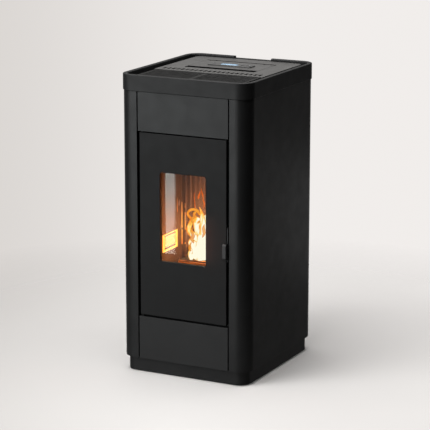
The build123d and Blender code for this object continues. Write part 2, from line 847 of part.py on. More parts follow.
def control_panel():
    top = plate_top + panel_proud
    centre_y = panel_middle_y
    bezel = prism(2 * panel_half_width, panel_depth, panel_corner_radius, plate_top, top, centre_y)
    bezel = chamfer(bezel.edges().group_by(Axis.Z)[-1], panel_edge)
    side = panel_wall + panel_gap
    low = lid_bottom - panel_box_depth
    housing = block(-panel_half_width + side, panel_half_width - side, panel_front_y + side,
                    panel_rear_y - side, low, plate_top)
    panel = bezel + housing
    panel -= block(-panel_half_width + side + panel_wall, panel_half_width - side - panel_wall,
                   panel_front_y + side + panel_wall, panel_rear_y - side - panel_wall,
                   low + panel_wall, top - panel_bezel)
    panel -= block(display_x - display_half_width - panel_gap,
                   display_x + display_half_width + panel_gap,
                   centre_y - display_depth / 2 - panel_gap, centre_y + display_depth / 2 + panel_gap,
                   top - panel_bezel, top)
    for x in button_xs:
        panel -= rod("Z", (x, centre_y), button_radius + button_gap, top - panel_bezel, top)
        # a post under each button that stops it
        stem_low = top - panel_bezel - button_flange - button_stem_height - button_travel
        panel += rod("Z", (x, centre_y), button_stem_radius, low + panel_wall, stem_low)
    return panel


def display_window():
    top = plate_top + panel_proud
    centre_y = panel_middle_y
    x0 = display_x - display_half_width
    x1 = display_x + display_half_width
    pane = block(x0, x1, centre_y - display_depth / 2,
                 centre_y + display_depth / 2, top - display_sheet, top - panel_gap)
    rim = panel_wall + panel_gap
    pane += block(x0 - rim, x1 + rim,
                  centre_y - display_depth / 2 - rim, centre_y + display_depth / 2 + rim,
                  top - panel_bezel - display_sheet, top - panel_bezel)
    pane += block(x0, x1, centre_y - display_depth / 2,
                  centre_y + display_depth / 2, top - panel_bezel, top - display_sheet)
    return pane


def control_button(x):
    top = plate_top + panel_proud
    centre = (x, panel_middle_y)
    cap = rod("Z", centre, button_radius, top - panel_bezel, top + button_proud)
    cap = fillet(cap.edges().group_by(Axis.Z)[-1], button_proud / 2)
    flange_top = top - panel_bezel
    cap += rod("Z", centre, button_radius + button_flange, flange_top - button_flange, flange_top)
    cap += rod("Z", centre, button_stem_radius, flange_top - button_flange - button_stem_height,
               flange_top - button_flange)
    return cap


# ---------------------------------------------------------------- door
def door_panel():
    width = door_half_width
    back = front_y + door_return_depth
    panel = block(-width, width, front_y, back, door_bottom, door_top)
    panel = fillet(panel.edges().filter_by(Axis.Z).group_by(Axis.Y)[0], door_sheet / 2)
    panel -= block(-width + door_sheet, width - door_sheet, front_y + door_sheet, back,
                   door_bottom + door_sheet, door_top - door_sheet)
    panel -= window_prism(window_half_width, window_bottom, window_top, window_corner_radius,
                          front_y, front_y + door_sheet)
    hinge = (hinge_x, front_y + hinge_setback)
    bore = hinge_pin_radius + hinge_clearance
    panel -= rod("Z", hinge, bore, door_bottom, door_bottom + door_sheet)
    panel -= rod("Z", hinge, bore, door_top - door_sheet, door_top)
    pivot = (front_y + handle_pivot_setback, handle_pivot_z)
    panel -= rod("X", pivot, handle_pin_radius + hinge_clearance, width - door_sheet, width)
    return panel


def door_frame():
    """The inner frame: back plate, edge strips, the collar in front of the glass, and lugs."""
    face = front_y + door_sheet
    half = frame_half_width
    frame = block(-half, half, glass_front_y, frame_back_y, frame_bottom, frame_upper)
    strips = block(-half, half, face, glass_front_y, frame_bottom, frame_upper)
    strips -= block(-half + frame_strip, half - frame_strip, face, glass_front_y,
                    frame_bottom + frame_strip, frame_upper - frame_strip)
    collar = window_prism(window_half_width + collar_wall, window_bottom - collar_wall,
                          window_top + collar_wall, window_corner_radius, face, glass_front_y)
    frame += strips + collar
    frame -= window_prism(window_half_width, window_bottom, window_top, window_corner_radius,
                          face, glass_front_y)
    seat = window_half_width + glass_overlap + glass_gap
    frame -= block(-seat, seat, glass_front_y, frame_back_y,
                   window_bottom - glass_overlap - glass_gap, window_top + glass_overlap + glass_gap)
    hinge = (hinge_x, front_y + hinge_setback)
    lug_half = hinge_tongue_width / 2
    for low in (door_bottom + door_sheet + lug_gap,
                door_top - door_sheet - lug_height - lug_gap):
        lug = rod("Z", hinge, lug_half, low, low + lug_height)
        lug += block(hinge_x, -half + frame_strip, hinge[1] - lug_half / 2, glass_front_y,
                     low, low + lug_height)
        frame += lug
        frame -= rod("Z", hinge, hinge_pin_radius + hinge_clearance, low, low + lug_height)
    pivot = (front_y + handle_pivot_setback, handle_pivot_z)
    frame += block(half, half + pivot_boss_depth, face + pivot_boss_gap, glass_front_y,
                   handle_pivot_z - pivot_boss_half, handle_pivot_z + pivot_boss_half)
    frame -= rod("X", pivot, handle_pin_radius + hinge_clearance,
                 half - frame_strip, half + pivot_boss_half)
    return frame


def door_glass():
    half = window_half_width + glass_overlap
    pane = block(-half, half, glass_front_y, frame_back_y, window_bottom - glass_overlap,
                 window_top + glass_overlap)
    return pane


def glass_clips():
    clips = []
    half = window_half_width + glass_overlap
    for side in (-1, 1):
        for z in (window_bottom + clip_length, (window_bottom + window_top) / 2,
                  window_top - clip_length):
            x0 = half - clip_width
            clip = block(x0, half + clip_width, frame_back_y, frame_back_y + clip_plate,
                         z - clip_length / 2, z + clip_length / 2)
            clip += rod("Y", (half + clip_width / 2, z), clip_screw_radius,
                        frame_back_y + clip_plate, frame_back_y + 2 * clip_plate)
            clips.append(clip if side > 0 else mirror(clip, about=Plane.YZ))
    return clips


def door_seal():
    half = frame_half_width - seal_inset
    low = frame_bottom + seal_inset
    high = frame_upper - seal_inset
    y = frame_back_y + seal_radius
    outline = Pos(0, y, (low + high) / 2) * Rot(90, 0, 0)
    path = outline * RectangleRounded(2 * half, high - low, seal_corner_radius).wire()
    start = path.edges().sort_by(Axis.Z)[0]
    section = Plane(origin=start @ 0.5, z_dir=start % 0.5) * Circle(seal_radius)
    route = Wire(path.edges())
    return sweep(section, path=route)


def hinge_brackets():
    """Two tongues from the front frame; each carries one pivot pin of the door."""
    hinge = (hinge_x, front_y + hinge_setback)
    gap_low = (lower_panel_top + door_bottom) / 2
    gap_high = (upper_panel_bottom + door_top) / 2
    tongues = []
    for middle, height in ((gap_low, lower_tongue_height), (gap_high, upper_tongue_height)):
        low = middle - height / 2
        high = middle + height / 2
        half = hinge_tongue_width / 2
        tongue = rod("Z", hinge, half, low, high)
        tongue += block(hinge_x - half, hinge_x + half, hinge[1], frame_face_y, low, high)
        away = -1 if middle < door_bottom else 1
        z0 = low if away > 0 else low - lug_height
        tongue += block(hinge_x - half, hinge_x + half, frame_face_y - casing_sheet,
                        frame_face_y, z0, z0 + height + lug_height)
        tongue -= rod("Z", hinge, hinge_pin_radius, low, high)
        tongues.append(tongue)
    return tongues


def hinge_pins():
    """The two door pivots and the two lid pins."""
    hinge = (hinge_x, front_y + hinge_setback)
    low = (lower_panel_top + door_bottom) / 2 - lower_tongue_height / 2
    high = (upper_panel_bottom + door_top) / 2 + upper_tongue_height / 2
    pins = [rod("Z", hinge, hinge_pin_radius, low, low + hinge_pin_length),
            rod("Z", hinge, hinge_pin_radius, high - hinge_pin_length, high)]
    reach = lid_knuckle_length / 2 + lid_ear_gap + lid_ear_thickness
    for side in (-1, 1):
        middle = side * lid_knuckle_x
        pins.append(rod("X", (lid_hinge_y, lid_hinge_z), lid_pin_radius,
                        middle - reach, middle + reach))
    return pins


def door_handle():
    """A flat lever in the gap beside the door, with a pull tab in front of the door's edge."""
    x0 = handle_bar_x
    x1 = x0 + handle_bar_thickness
    bar = block(x0, x1, front_y + handle_bar_front, front_y + handle_bar_back,
                handle_bar_bottom, handle_bar_top)
    front = front_y - handle_tab_proud
    grip = block(x0, x1, front, front_y + handle_bar_back, handle_tab_bottom, handle_tab_top)
    grip += block(handle_tab_left, x1, front, front + handle_tab_plate,
                  handle_tab_bottom, handle_tab_top)
    grip = fillet(grip.edges().filter_by(Axis.X).group_by(Axis.Y)[0], handle_corner)
    pivot = (front_y + handle_pivot_setback, handle_pivot_z)
    pin = rod("X", pivot, handle_pin_radius, x0 - handle_pin_length, x0)
    washer = rod("X", pivot, handle_washer_radius, door_half_width + sheet_gap, x0)
    return bar + grip + pin + washer


def latch_catch():
    """The spring catch on the front frame, opposite the lever's top."""
    x0 = handle_bar_x - catch_offset
    body = block(x0, x0 + catch_width, frame_face_y - catch_depth, frame_face_y,
                 handle_pivot_z - catch_depth, handle_pivot_z + 2 * catch_depth)
    body = fillet(body.edges().filter_by(Axis.X).group_by(Axis.Y)[0], catch_depth / 2)
    return body


# ---------------------------------------------------------------- fire
def firebox_body():
    """One welded shell: the ash chamber below, the fire chamber above."""
    wall = firebox_wall
    half = firebox_half_width
    shell = block(-half, half, frame_rear_y, firebox_rear_y, firebox_bottom, firebox_top)
    shell -= block(-half + wall, half - wall, frame_rear_y, firebox_rear_y - wall,
                   firebox_bottom + wall, firebox_top - wall)
    shelf = block(-half, half, frame_rear_y, firebox_rear_y, fire_floor - wall, fire_floor)
    seat_x = pot_half_width + pot_flange
    seat = block(-seat_x, seat_x, pot_front_y - pot_flange, pot_rear_y + pot_flange,
                 fire_floor - wall, pot_seat)
    shell += shelf + seat
    hole = pot_half_width + pot_flange - pot_seat_wall
    shell -= block(-hole, hole, pot_front_y - pot_flange + pot_seat_wall,
                   pot_rear_y + pot_flange - pot_seat_wall, fire_floor - wall, pot_seat)
    shell -= chute_cut()
    shell -= block(smoke_duct_x0 + smoke_duct_wall, smoke_duct_x1 - smoke_duct_wall,
                   firebox_rear_y - wall, firebox_rear_y, smoke_window_bottom, firebox_top - wall)
    shell -= rod("Y", (0, igniter_z), igniter_radius + sheet_gap,
                 firebox_rear_y - wall, firebox_rear_y)
    shell -= rod("Y", (0, air_pipe_z), air_pipe_radius - air_pipe_wall,
                 firebox_rear_y - wall, firebox_rear_y)
    return shell


def chute_cut():
    """The space that the chute takes, with its clearance."""
    start = auger_place(chute_offset)
    return start * Rot(90, 0, 0) * Pos(0, 0, chute_reach) * Cylinder(chute_radius + chute_gap,
                                                                   2 * chute_reach)


def liner_back():
    """The fluted fireback."""
    half = firebox_half_width - firebox_wall - liner_gap
    back = firebox_rear_y - firebox_wall - liner_gap
    front = back - liner_back_thickness
    plate = block(-half, half, front, back, fire_floor, liner_top)
    count = int(2 * (firebox_half_width - rib_margin) / rib_pitch) + 1
    plate += [rod("Z", ((i - (count - 1) / 2) * rib_pitch, front), rib_radius,
                  fire_floor, liner_top) for i in range(count)]
    plate -= chute_cut()
    plate -= rod("Y", (0, igniter_z), igniter_radius + chute_gap,
                 front - 2 * rib_radius, back)
    return plate


def side_liners():
    outer = firebox_half_width - firebox_wall - liner_gap
    back = firebox_rear_y - firebox_wall - liner_gap - liner_back_thickness - rib_radius - liner_gap
    liners = []
    for side in (-1, 1):
        liner = block(outer - liner_thickness, outer, frame_rear_y + liner_gap, back,
                      fire_floor, liner_top)
        liners.append(liner if side > 0 else mirror(liner, about=Plane.YZ))
    return liners


def baffle_plate():
    half = firebox_half_width - firebox_wall - liner_gap
    back = firebox_rear_y - firebox_wall - liner_gap
    plate = block(-half, half, back - baffle_depth, back, liner_top, liner_top + baffle_thickness)
    return chamfer(plate.edges().filter_by(Axis.X).group_by(Axis.Y)[0], baffle_chamfer)


def burn_pot():
    half = pot_half_width
    pot = block(-half, half, pot_front_y, pot_rear_y, pot_bottom, pot_top)
    pot = fillet(pot.edges().filter_by(Axis.Z), 3 * pot_wall)
    pot += block(-half - pot_flange, half + pot_flange, pot_front_y - pot_flange,
                 pot_rear_y + pot_flange, pot_seat + pot_seat_gap,
                 pot_seat + pot_seat_gap + pot_flange_sheet)
    rim_top = pot_top - pot_collar_drop
    collar = block(-half - pot_collar_overhang, half + pot_collar_overhang,
                   pot_front_y - pot_flange, pot_rear_y + pot_flange,
                   rim_top - pot_collar_thickness, rim_top)
    pot += fillet(collar.edges().filter_by(Axis.Z), pot_collar_corner)
    cavity = block(-half + pot_wall, half - pot_wall, pot_front_y + pot_wall,
                   pot_rear_y - pot_wall, pot_bottom + pot_wall, pot_top)
    pot -= fillet(cavity.edges().filter_by(Axis.Z), 2 * pot_wall)
    step = pot_hole_pitch
    pot -= [rod("Z", (i * step, (pot_front_y + pot_rear_y) / 2 + j * step), pot_hole_radius,
                pot_bottom, pot_bottom + pot_wall) for i in (-2, -1, 0, 1, 2) for j in (-1, 0, 1)]
    pot -= rod("Y", (0, igniter_z), igniter_radius + pot_wall,
               pot_rear_y - pot_wall, pot_rear_y)
    return pot


def igniter():
    tip = pot_rear_y + pot_flange + igniter_gap
    heater = rod("Y", (0, igniter_z), igniter_radius, tip, firebox_rear_y + igniter_reach)
    return heater + rod("Y", (0, igniter_z), igniter_flange_radius, firebox_rear_y,
                        firebox_rear_y + firebox_wall)


def ash_drawer():
    low = firebox_bottom + firebox_wall + ash_floor_gap
    high = low + ash_height
    tray = block(-ash_half_width, ash_half_width, ash_front_y, ash_rear_y, low, high)
    tray -= block(-ash_half_width + ash_sheet, ash_half_width - ash_sheet,
                  ash_front_y + ash_sheet, ash_rear_y - ash_sheet, low + ash_sheet, high)
    z = low + ash_handle_z
    bar_y = ash_front_y - ash_handle_reach
    tray += rod("X", (bar_y, z), ash_handle_radius, -ash_handle_half, ash_handle_half)
    for side in (-1, 1):
        x = side * (ash_handle_half - ash_handle_radius)
        tray += rod("Y", (x, z), ash_handle_radius, bar_y, ash_front_y)
    return tray


def heat_exchanger():
    half = firebox_half_width - heat_fin_inset
    front = frame_rear_y + firebox_wall
    base = block(-half, half, front, firebox_rear_y, firebox_top, firebox_top + heat_fin_base)
    step = (2 * half - heat_fin_sheet) / (heat_fin_count - 1)
    top = firebox_top + heat_fin_base + heat_fin_height
    fins = [block(-half + i * step, -half + i * step + heat_fin_sheet, front, firebox_rear_y,
                  firebox_top + heat_fin_base, top) for i in range(heat_fin_count)]
    return base + fins


def air_plenum():
    """The warm-air hood; its floor rests on the fins and leaves them open below."""
    bottom = firebox_top + heat_fin_base + heat_fin_height
    duct = block(-plenum_half_width, plenum_half_width, plenum_front_y, plenum_rear_y,
                 bottom, gutter_floor)
    duct -= block(-plenum_half_width + plenum_sheet, plenum_half_width - plenum_sheet,
                  plenum_front_y + plenum_sheet, plenum_rear_y - plenum_sheet,
                  bottom + plenum_sheet, gutter_floor)
    half = firebox_half_width - heat_fin_inset - 2 * heat_fin_sheet
    duct -= block(-half, half, plenum_front_y + plenum_lip, plenum_rear_y - plenum_lip,
                  bottom, bottom + plenum_sheet)
    return duct


def smoke_duct():
    """Takes the gases from the top of the fire chamber down to the exhaust fan."""
    wall = smoke_duct_wall
    back = firebox_rear_y + smoke_duct_depth
    duct = block(smoke_duct_x0, smoke_duct_x1, firebox_rear_y, back, exhaust_z, firebox_top)
    duct -= block(smoke_duct_x0 + wall, smoke_duct_x1 - wall, firebox_rear_y + wall, back - wall,
                  exhaust_z, firebox_top - wall)
    duct -= block(smoke_duct_x0 + wall, smoke_duct_x1 - wall, firebox_rear_y,
                  firebox_rear_y + wall, smoke_window_bottom, firebox_top - wall)
    duct -= rod("X", (exhaust_y, exhaust_z), exhaust_radius, smoke_duct_x0 - 1, smoke_duct_x1 + 1)
    return duct.solids().sort_by(Axis.Z)[-1]


# ---------------------------------------------------------------- fans and pipes
def fan_legs(x0, x1, y, z, radius):
    """Two legs from the base plate up to a drum that lies along X."""
    legs = []
    for x in (x0 + fan_leg_width / 2, x1 - fan_leg_width / 2):
        leg = block(x - fan_leg_width / 2, x + fan_leg_width / 2, y - radius / 2, y + radius / 2,
                    base_top, z)
        legs.append(leg - rod("X", (y, z), radius, x0 - 1, x1 + 1))
    return legs


def exhaust_fan_housing():
    centre = (exhaust_y, exhaust_z)
    drum = rod("X", centre, exhaust_radius, exhaust_x0, exhaust_x1)
    drum += fan_legs(exhaust_x0, exhaust_x1, exhaust_y, exhaust_z, exhaust_radius)
    drum -= rod("X", centre, exhaust_radius - exhaust_wall, exhaust_x0 + exhaust_wall,
                exhaust_x1 - exhaust_wall)
    drum -= rod("X", centre, fan_shaft_radius + fan_shaft_clearance,
                exhaust_x1 - exhaust_wall, exhaust_x1)
    drum -= block(exhaust_x0 + exhaust_wall, exhaust_x1 - exhaust_wall,
                  firebox_rear_y + smoke_duct_wall,
                  firebox_rear_y + smoke_duct_depth - smoke_duct_wall,
                  exhaust_z, exhaust_z + exhaust_radius)
    outlet = (exhaust_x1 - exhaust_x0) / 2 - exhaust_wall
    drum -= rod("Y", (flue_x, exhaust_z), outlet, exhaust_y, exhaust_y + exhaust_radius)
    return drum


def bladed_rotor(x0, x1, y, z, radius, blades, hub_radius):
    """A hub, a back disc and straight blades, turning about X."""
    disc = fan_disc
    inner = radius - fan_blade_depth
    rotor = rod("X", (y, z), hub_radius, x0, x1)
    rotor += rod("X", (y, z), radius, x1 - disc, x1)
    blade = block(x0, x1 - disc / 2, inner, radius, -disc / 2, disc / 2)
    rotor += [Pos(0, y, z) * Rot(360 * i / blades, 0, 0) * blade for i in range(blades)]
    ring = rod("X", (y, z), radius, x0, x0 + disc) - rod("X", (y, z), inner, x0, x0 + disc)
    return rotor + ring


def exhaust_fan_rotor():
    gap = exhaust_wall + fan_side_gap
    rotor = bladed_rotor(exhaust_x0 + gap, exhaust_x1 - gap, exhaust_y, exhaust_z,
                         exhaust_rotor_radius, exhaust_blades, exhaust_hub_radius)
    rotor += rod("X", (exhaust_y, exhaust_z), fan_shaft_radius, exhaust_x1 - gap,
                 exhaust_x1 + exhaust_motor_length / 2)
    return rotor


def fan_motor(x0, x1, y, z, radius, shaft_end):
    """A round motor with end bosses, bored for the shaft."""
    face = x0 + motor_boss_length
    motor = rod("X", (y, z), radius, face, x1)
    motor = fillet(motor.edges().filter_by(GeomType.CIRCLE), motor_edge_radius)
    motor += rod("X", (y, z), motor_boss_radius, x0, face)
    motor -= rod("X", (y, z), fan_shaft_radius + fan_shaft_clearance, x0, shaft_end)
    return motor


def exhaust_fan_motor():
    return fan_motor(exhaust_x1, exhaust_x1 + exhaust_motor_length, exhaust_y, exhaust_z,
                     exhaust_motor_radius, exhaust_x1 + exhaust_motor_length / 2 + sheet_gap)


def flue_outlet():
    """The smoke spigot, from the fan's housing out through the rear panel."""
    centre = (flue_x, exhaust_z)
    pipe = rod("Y", centre, flue_radius, exhaust_y, spigot_y)
    collar_y = rear_panel_y - flue_collar
    pipe += rod("Y", centre, flue_radius + flue_collar, collar_y, rear_panel_y)
    pipe += rod("Y", centre, flue_radius + spigot_root, rear_panel_y, rear_panel_back)
    pipe -= rod("Y", centre, flue_radius - flue_wall, exhaust_y, spigot_y)
    pipe -= rod("X", (exhaust_y, exhaust_z), exhaust_radius, flue_x - 2 * flue_radius,
                flue_x + 2 * flue_radius)
    return pipe.solids().sort_by(Axis.Y)[-1]


def air_intake_pipe():
    pipe = rod("Y", (0, air_pipe_z), air_pipe_radius, firebox_rear_y, spigot_y)
    pipe += rod("Y", (0, air_pipe_z), air_pipe_radius + flue_collar,
                rear_panel_y - flue_collar / 2, rear_panel_y)
    pipe += rod("Y", (0, air_pipe_z), air_pipe_radius + spigot_root, rear_panel_y, rear_panel_back)
    pipe -= rod("Y", (0, air_pipe_z), air_pipe_radius - air_pipe_wall, firebox_rear_y, spigot_y)
    return pipe


def room_fan_housing():
    centre = (room_fan_y, room_fan_z)
    x0 = room_fan_x0
    x1 = room_fan_x1
    wall = room_fan_wall
    spout_y0 = room_fan_y - room_fan_radius
    spout_y1 = spout_y0 + room_fan_spout_depth
    drum = rod("X", centre, room_fan_radius, x0, x1)
    drum += block(x0, x1, spout_y0, spout_y1, room_fan_z, room_fan_spout_top)
    drum += fan_legs(x0, x1, room_fan_y, room_fan_z, room_fan_radius)
    drum -= rod("X", centre, room_fan_radius - wall, x0 + wall, x1 - wall)
    drum -= block(x0 + wall, x1 - wall, spout_y0 + wall, spout_y1 - wall,
                  room_fan_z, room_fan_spout_top)
    drum -= rod("X", centre, room_fan_inlet_radius, x0, x0 + wall)
    drum -= rod("X", centre, fan_shaft_radius + fan_shaft_clearance, x1 - wall, x1)
    return drum


def room_fan_rotor():
    gap = room_fan_wall + fan_side_gap
    rotor = bladed_rotor(room_fan_x0 + gap, room_fan_x1 - gap, room_fan_y, room_fan_z,
                         room_fan_rotor_radius, room_fan_blades, room_fan_hub_radius)
    rotor += rod("X", (room_fan_y, room_fan_z), fan_shaft_radius, room_fan_x1 - gap,
                 room_fan_x1 + room_fan_motor_length / 2)
    return rotor


def room_fan_motor():
    return fan_motor(room_fan_x1, room_fan_x1 + room_fan_motor_length, room_fan_y, room_fan_z,
                     room_fan_motor_radius,
                     room_fan_x1 + room_fan_motor_length / 2 + sheet_gap)


# ---------------------------------------------------------------- pellet feed
def pellet_hopper():
    """Flange, mouth collar, bin and funnel, folded from sheet and open at both ends."""
    wall = hopper_sheet

    def stack(inset):
        low = Pos(0, hopper_throat_y, hopper_throat_top)
        throat = low * Rectangle(2 * (hopper_throat_half - inset), 2 * (hopper_throat_half - inset))
        middle_y = (hopper_front_y + hopper_rear_y) / 2
        mouth = Pos(0, middle_y, hopper_bin_bottom) * Rectangle(
            2 * (collar_half_width - inset), hopper_rear_y - hopper_front_y - 2 * inset)
        funnel = loft([throat, mouth])
        top = hopper_flange_top if inset == 0 else hopper_flange_top - wall
        bin_part = block(-collar_half_width + inset, collar_half_width - inset,
                         hopper_front_y + inset, hopper_rear_y - inset, hopper_bin_bottom, top)
        spout = block(-hopper_throat_half + inset, hopper_throat_half - inset,
                      hopper_throat_y - hopper_throat_half + inset,
                      hopper_throat_y + hopper_throat_half - inset,
                      auger_low_z, hopper_throat_top)
        return funnel + bin_part + spout

    half = lid_half_width + lid_side_gap + plate_sheet
    flange = block(-half, half, lid_front_y - finger_slot - plate_sheet,
                   lid_rear_y + lid_rear_gap + plate_sheet, hopper_flange_top - wall,
                   hopper_flange_top)
    collar = block(-collar_half_width, collar_half_width, collar_front_y, collar_rear_y,
                   hopper_flange_top, collar_top)
    hopper = stack(0) + flange + collar
    low = hopper_flange_top - hopper_bracket_drop
    hopper += both_sides(hopper_bracket_x - hopper_bracket_half,
                         hopper_bracket_x + hopper_bracket_half, hopper_rear_y, rear_panel_y,
                         low, low + hopper_bracket_height)
    hopper -= stack(wall)
    hopper -= block(-collar_half_width + wall, collar_half_width - wall, collar_front_y + wall,
                    collar_rear_y - wall, hopper_flange_top - wall, collar_top)
    hopper -= auger_place(auger_length / 2) * Cylinder(auger_tube_radius, 2 * auger_length)
    return hopper.solids().sort_by(SortBy.VOLUME)[-1]


def hopper_guard():
    """The finger guard: bars across the hopper's mouth on two rails."""
    top = collar_top - guard_drop
    gap = hopper_sheet + guard_gap
    x1 = collar_half_width - gap
    y0 = collar_front_y + gap
    y1 = collar_rear_y - gap
    rails = [block(-x1, x1, y, y + guard_bar, top - guard_bar, top)
             for y in (y0, y1 - guard_bar)]
    pitch = 2 * x1 / guard_bars
    bars = [block(x - guard_bar / 2, x + guard_bar / 2, y0, y1, top, top + guard_bar)
            for x in [(i - (guard_bars - 1) / 2) * pitch for i in range(guard_bars)]]
    return rails + bars


def auger_tube():
    middle = auger_place(auger_length / 2)
    tube = middle * Cylinder(auger_tube_radius, auger_length)
    inner = auger_tube_radius - auger_tube_wall
    tube -= middle * Cylinder(inner, auger_length - 2 * auger_cap)
    bore = auger_shaft_radius + auger_bush_clearance
    tube -= middle * Cylinder(bore, auger_length)
    throat = hopper_throat_half - hopper_sheet
    tube -= block(-throat, throat, hopper_throat_y - throat, hopper_throat_y + throat,
                  auger_low_z + (auger_low_y - hopper_throat_y), hopper_throat_top)
    start = auger_place(chute_offset) * Rot(90, 0, 0)
    tube -= start * Pos(0, 0, chute_radius) * Cylinder(chute_radius - chute_wall, 2 * chute_radius)
    return tube


def auger_screw():
    """The shaft and its helical flight."""
    length = auger_pitch * auger_turns
    start = (auger_length - length) / 2
    base = auger_place(start)
    helix = Helix(pitch=auger_pitch, height=length, radius=auger_shaft_radius)
    inner = auger_shaft_radius - auger_flight_root
    width = auger_screw_radius - inner
    profile = Pos(inner + width / 2, 0, 0) * Rot(90, 0, 0) * Rectangle(width, auger_flight)
    flight = sweep(profile, path=helix, is_frenet=True)
    overhang = auger_gear_length / 2
    middle = (auger_length - overhang) / 2
    shaft = auger_place(middle) * Cylinder(auger_shaft_radius, auger_length + overhang)
    return shaft + base * flight


def auger_motor():
    size = auger_gear_size
    gear = auger_place(-auger_gear_length / 2) * Box(size, size, auger_gear_length)
    gear -= auger_place(-auger_gear_length / 4) * Cylinder(
        auger_shaft_radius + auger_bush_clearance, auger_gear_length / 2 + 2 * sheet_gap)
    motor = auger_place(-auger_gear_length - auger_motor_length / 2) * Cylinder(
        auger_motor_radius, auger_motor_length)
    return gear + motor


def pellet_chute():
    start = auger_place(chute_offset) * Rot(90, 0, 0)
    middle = start * Pos(0, 0, chute_reach / 2)
    chute = middle * Cylinder(chute_radius, chute_reach)
    chute -= middle * Cylinder(chute_radius - chute_wall, chute_reach)
    chute -= auger_place(auger_length / 2) * Cylinder(auger_tube_radius, 2 * auger_length)
    return chute.solids().sort_by(Axis.Y)[0]


# ---------------------------------------------------------------- electrics
def control_board():
    y1 = rear_panel_y - board_standoff
    y0 = y1 - board_sheet
    board = block(board_x0, board_x1, y0, y1, board_z0, board_z1)
    inset = board_pad_inset
    for x in (board_x0 + inset, board_x1 - inset):
        for z in (board_z0 + inset, board_z1 - inset):
            board += rod("Y", (x, z), screw_radius, y1, rear_panel_y)
    relay = relay_size
    for i in range(relay_count):
        x = board_x0 + 2 * inset + i * relay_pitch
        board += block(x, x + relay, y0 - relay, y0, board_z0 + inset, board_z0 + inset + 2 * relay)
    board += block(board_x0 + 3 * inset, board_x1 - 3 * inset, y0 - relay / 2, y0,
                   board_z1 - 2 * inset, board_z1 - inset)
    board += rod("Y", (board_x1 - 3 * inset, (board_z0 + board_z1) / 2), relay, y0 - relay, y0)
    return board


def mains_inlet():
    """A three-pin appliance inlet, with the frame of the rocker switch above it."""
    back = rear_panel_back
    half = inlet_width / 2
    tall = inlet_height / 2
    rocker_x = rocker_half_width + inlet_wall
    rocker_tall = rocker_half_height + inlet_wall
    inlet = block(service_x - half, service_x + half, back - inlet_depth, back,
                  inlet_z - tall, inlet_z + tall)
    inlet += block(service_x - rocker_x, service_x + rocker_x, back - rocker_depth, back,
                   rocker_z - rocker_tall, rocker_z + rocker_tall)
    inlet += block(service_x - half - inlet_flange, service_x + half + inlet_flange, back,
                   back + inlet_wall, inlet_z - tall - inlet_flange,
                   rocker_z + rocker_tall + inlet_flange)
    inlet -= block(service_x - half + inlet_wall, service_x + half - inlet_wall,
                   back - inlet_depth + inlet_wall, back + inlet_wall,
                   inlet_z - tall + inlet_wall, inlet_z + tall - inlet_wall)
    for i in (-1, 0, 1):
        rise = inlet_pin_offset if i == 0 else -inlet_pin_offset
        inlet += rod("Y", (service_x + i * inlet_pin_pitch, inlet_z + rise), inlet_pin_radius,
                     back - inlet_depth, back - inlet_depth + inlet_pin_length)
    inlet -= block(service_x - rocker_half_width, service_x + rocker_half_width,
                   back - rocker_depth + inlet_wall, back + inlet_wall,
                   rocker_z - rocker_half_height, rocker_z + rocker_half_height)
    axis = rocker_pivot()
    inlet += rod("X", axis, rocker_pin_radius, service_x - rocker_half_width,
                 service_x - rocker_half_width + rocker_pin_length)
    inlet += rod("X", axis, rocker_pin_radius, service_x + rocker_half_width - rocker_pin_length,
                 service_x + rocker_half_width)
    return inlet


def rocker_pivot():
    return (rear_panel_back - rocker_setback, rocker_z)


def rocker_switch():
    """A two-position rocker on two short trunnions, resting on one side."""
    y, z = rocker_pivot()
    half = rocker_half_width - rocker_gap
    tall = rocker_half_height - rocker_end_gap
    crest = inlet_wall + rocker_setback + tall * math.sin(math.radians(rocker_tilt))
    tip = tall - rocker_crest_flat
    corners = [(-rocker_tail, -rocker_tail_half), (-rocker_tail, rocker_tail_half),
               (rocker_shoulder, tall), (crest, tip), (crest - rocker_dip, 0),
               (crest, -tip), (rocker_shoulder, -tall)]
    outline = Polyline([(service_x - half, y + dy, z + dz) for dy, dz in corners], close=True)
    body = extrude(make_face(outline), amount=2 * half, dir=(1, 0, 0))
    body -= rod("X", (y, z), rocker_pin_radius + lid_pin_clearance, service_x - half,
                service_x + half)
    return body.rotate(Axis((0, y, z), (1, 0, 0)), rocker_tilt)


def thermostat():
    back = rear_panel_back
    centre = (service_x, thermostat_z)
    body = rod("Y", centre, thermostat_radius, rear_panel_y - thermostat_depth, rear_panel_y)
    body += rod("Y", centre, thermostat_neck_radius, rear_panel_y, back + thermostat_neck_reach)
    body += extrude(Pos(service_x, back + thermostat_nut_height, thermostat_z) * Rot(90, 0, 0)
                    * RegularPolygon(thermostat_nut_radius, 6), amount=thermostat_nut_height)
    body -= rod("Y", centre, reset_radius + reset_gap, rear_panel_y - reset_bore_depth,
                back + thermostat_neck_reach)
    return body


def reset_button():
    back = rear_panel_back + thermostat_neck_reach
    start = rear_panel_y - reset_bore_depth + reset_pin_start
    pin = rod("Y", (service_x, thermostat_z), reset_radius, start, back + reset_proud)
    return fillet(pin.edges().group_by(Axis.Y)[-1], reset_proud / 2)


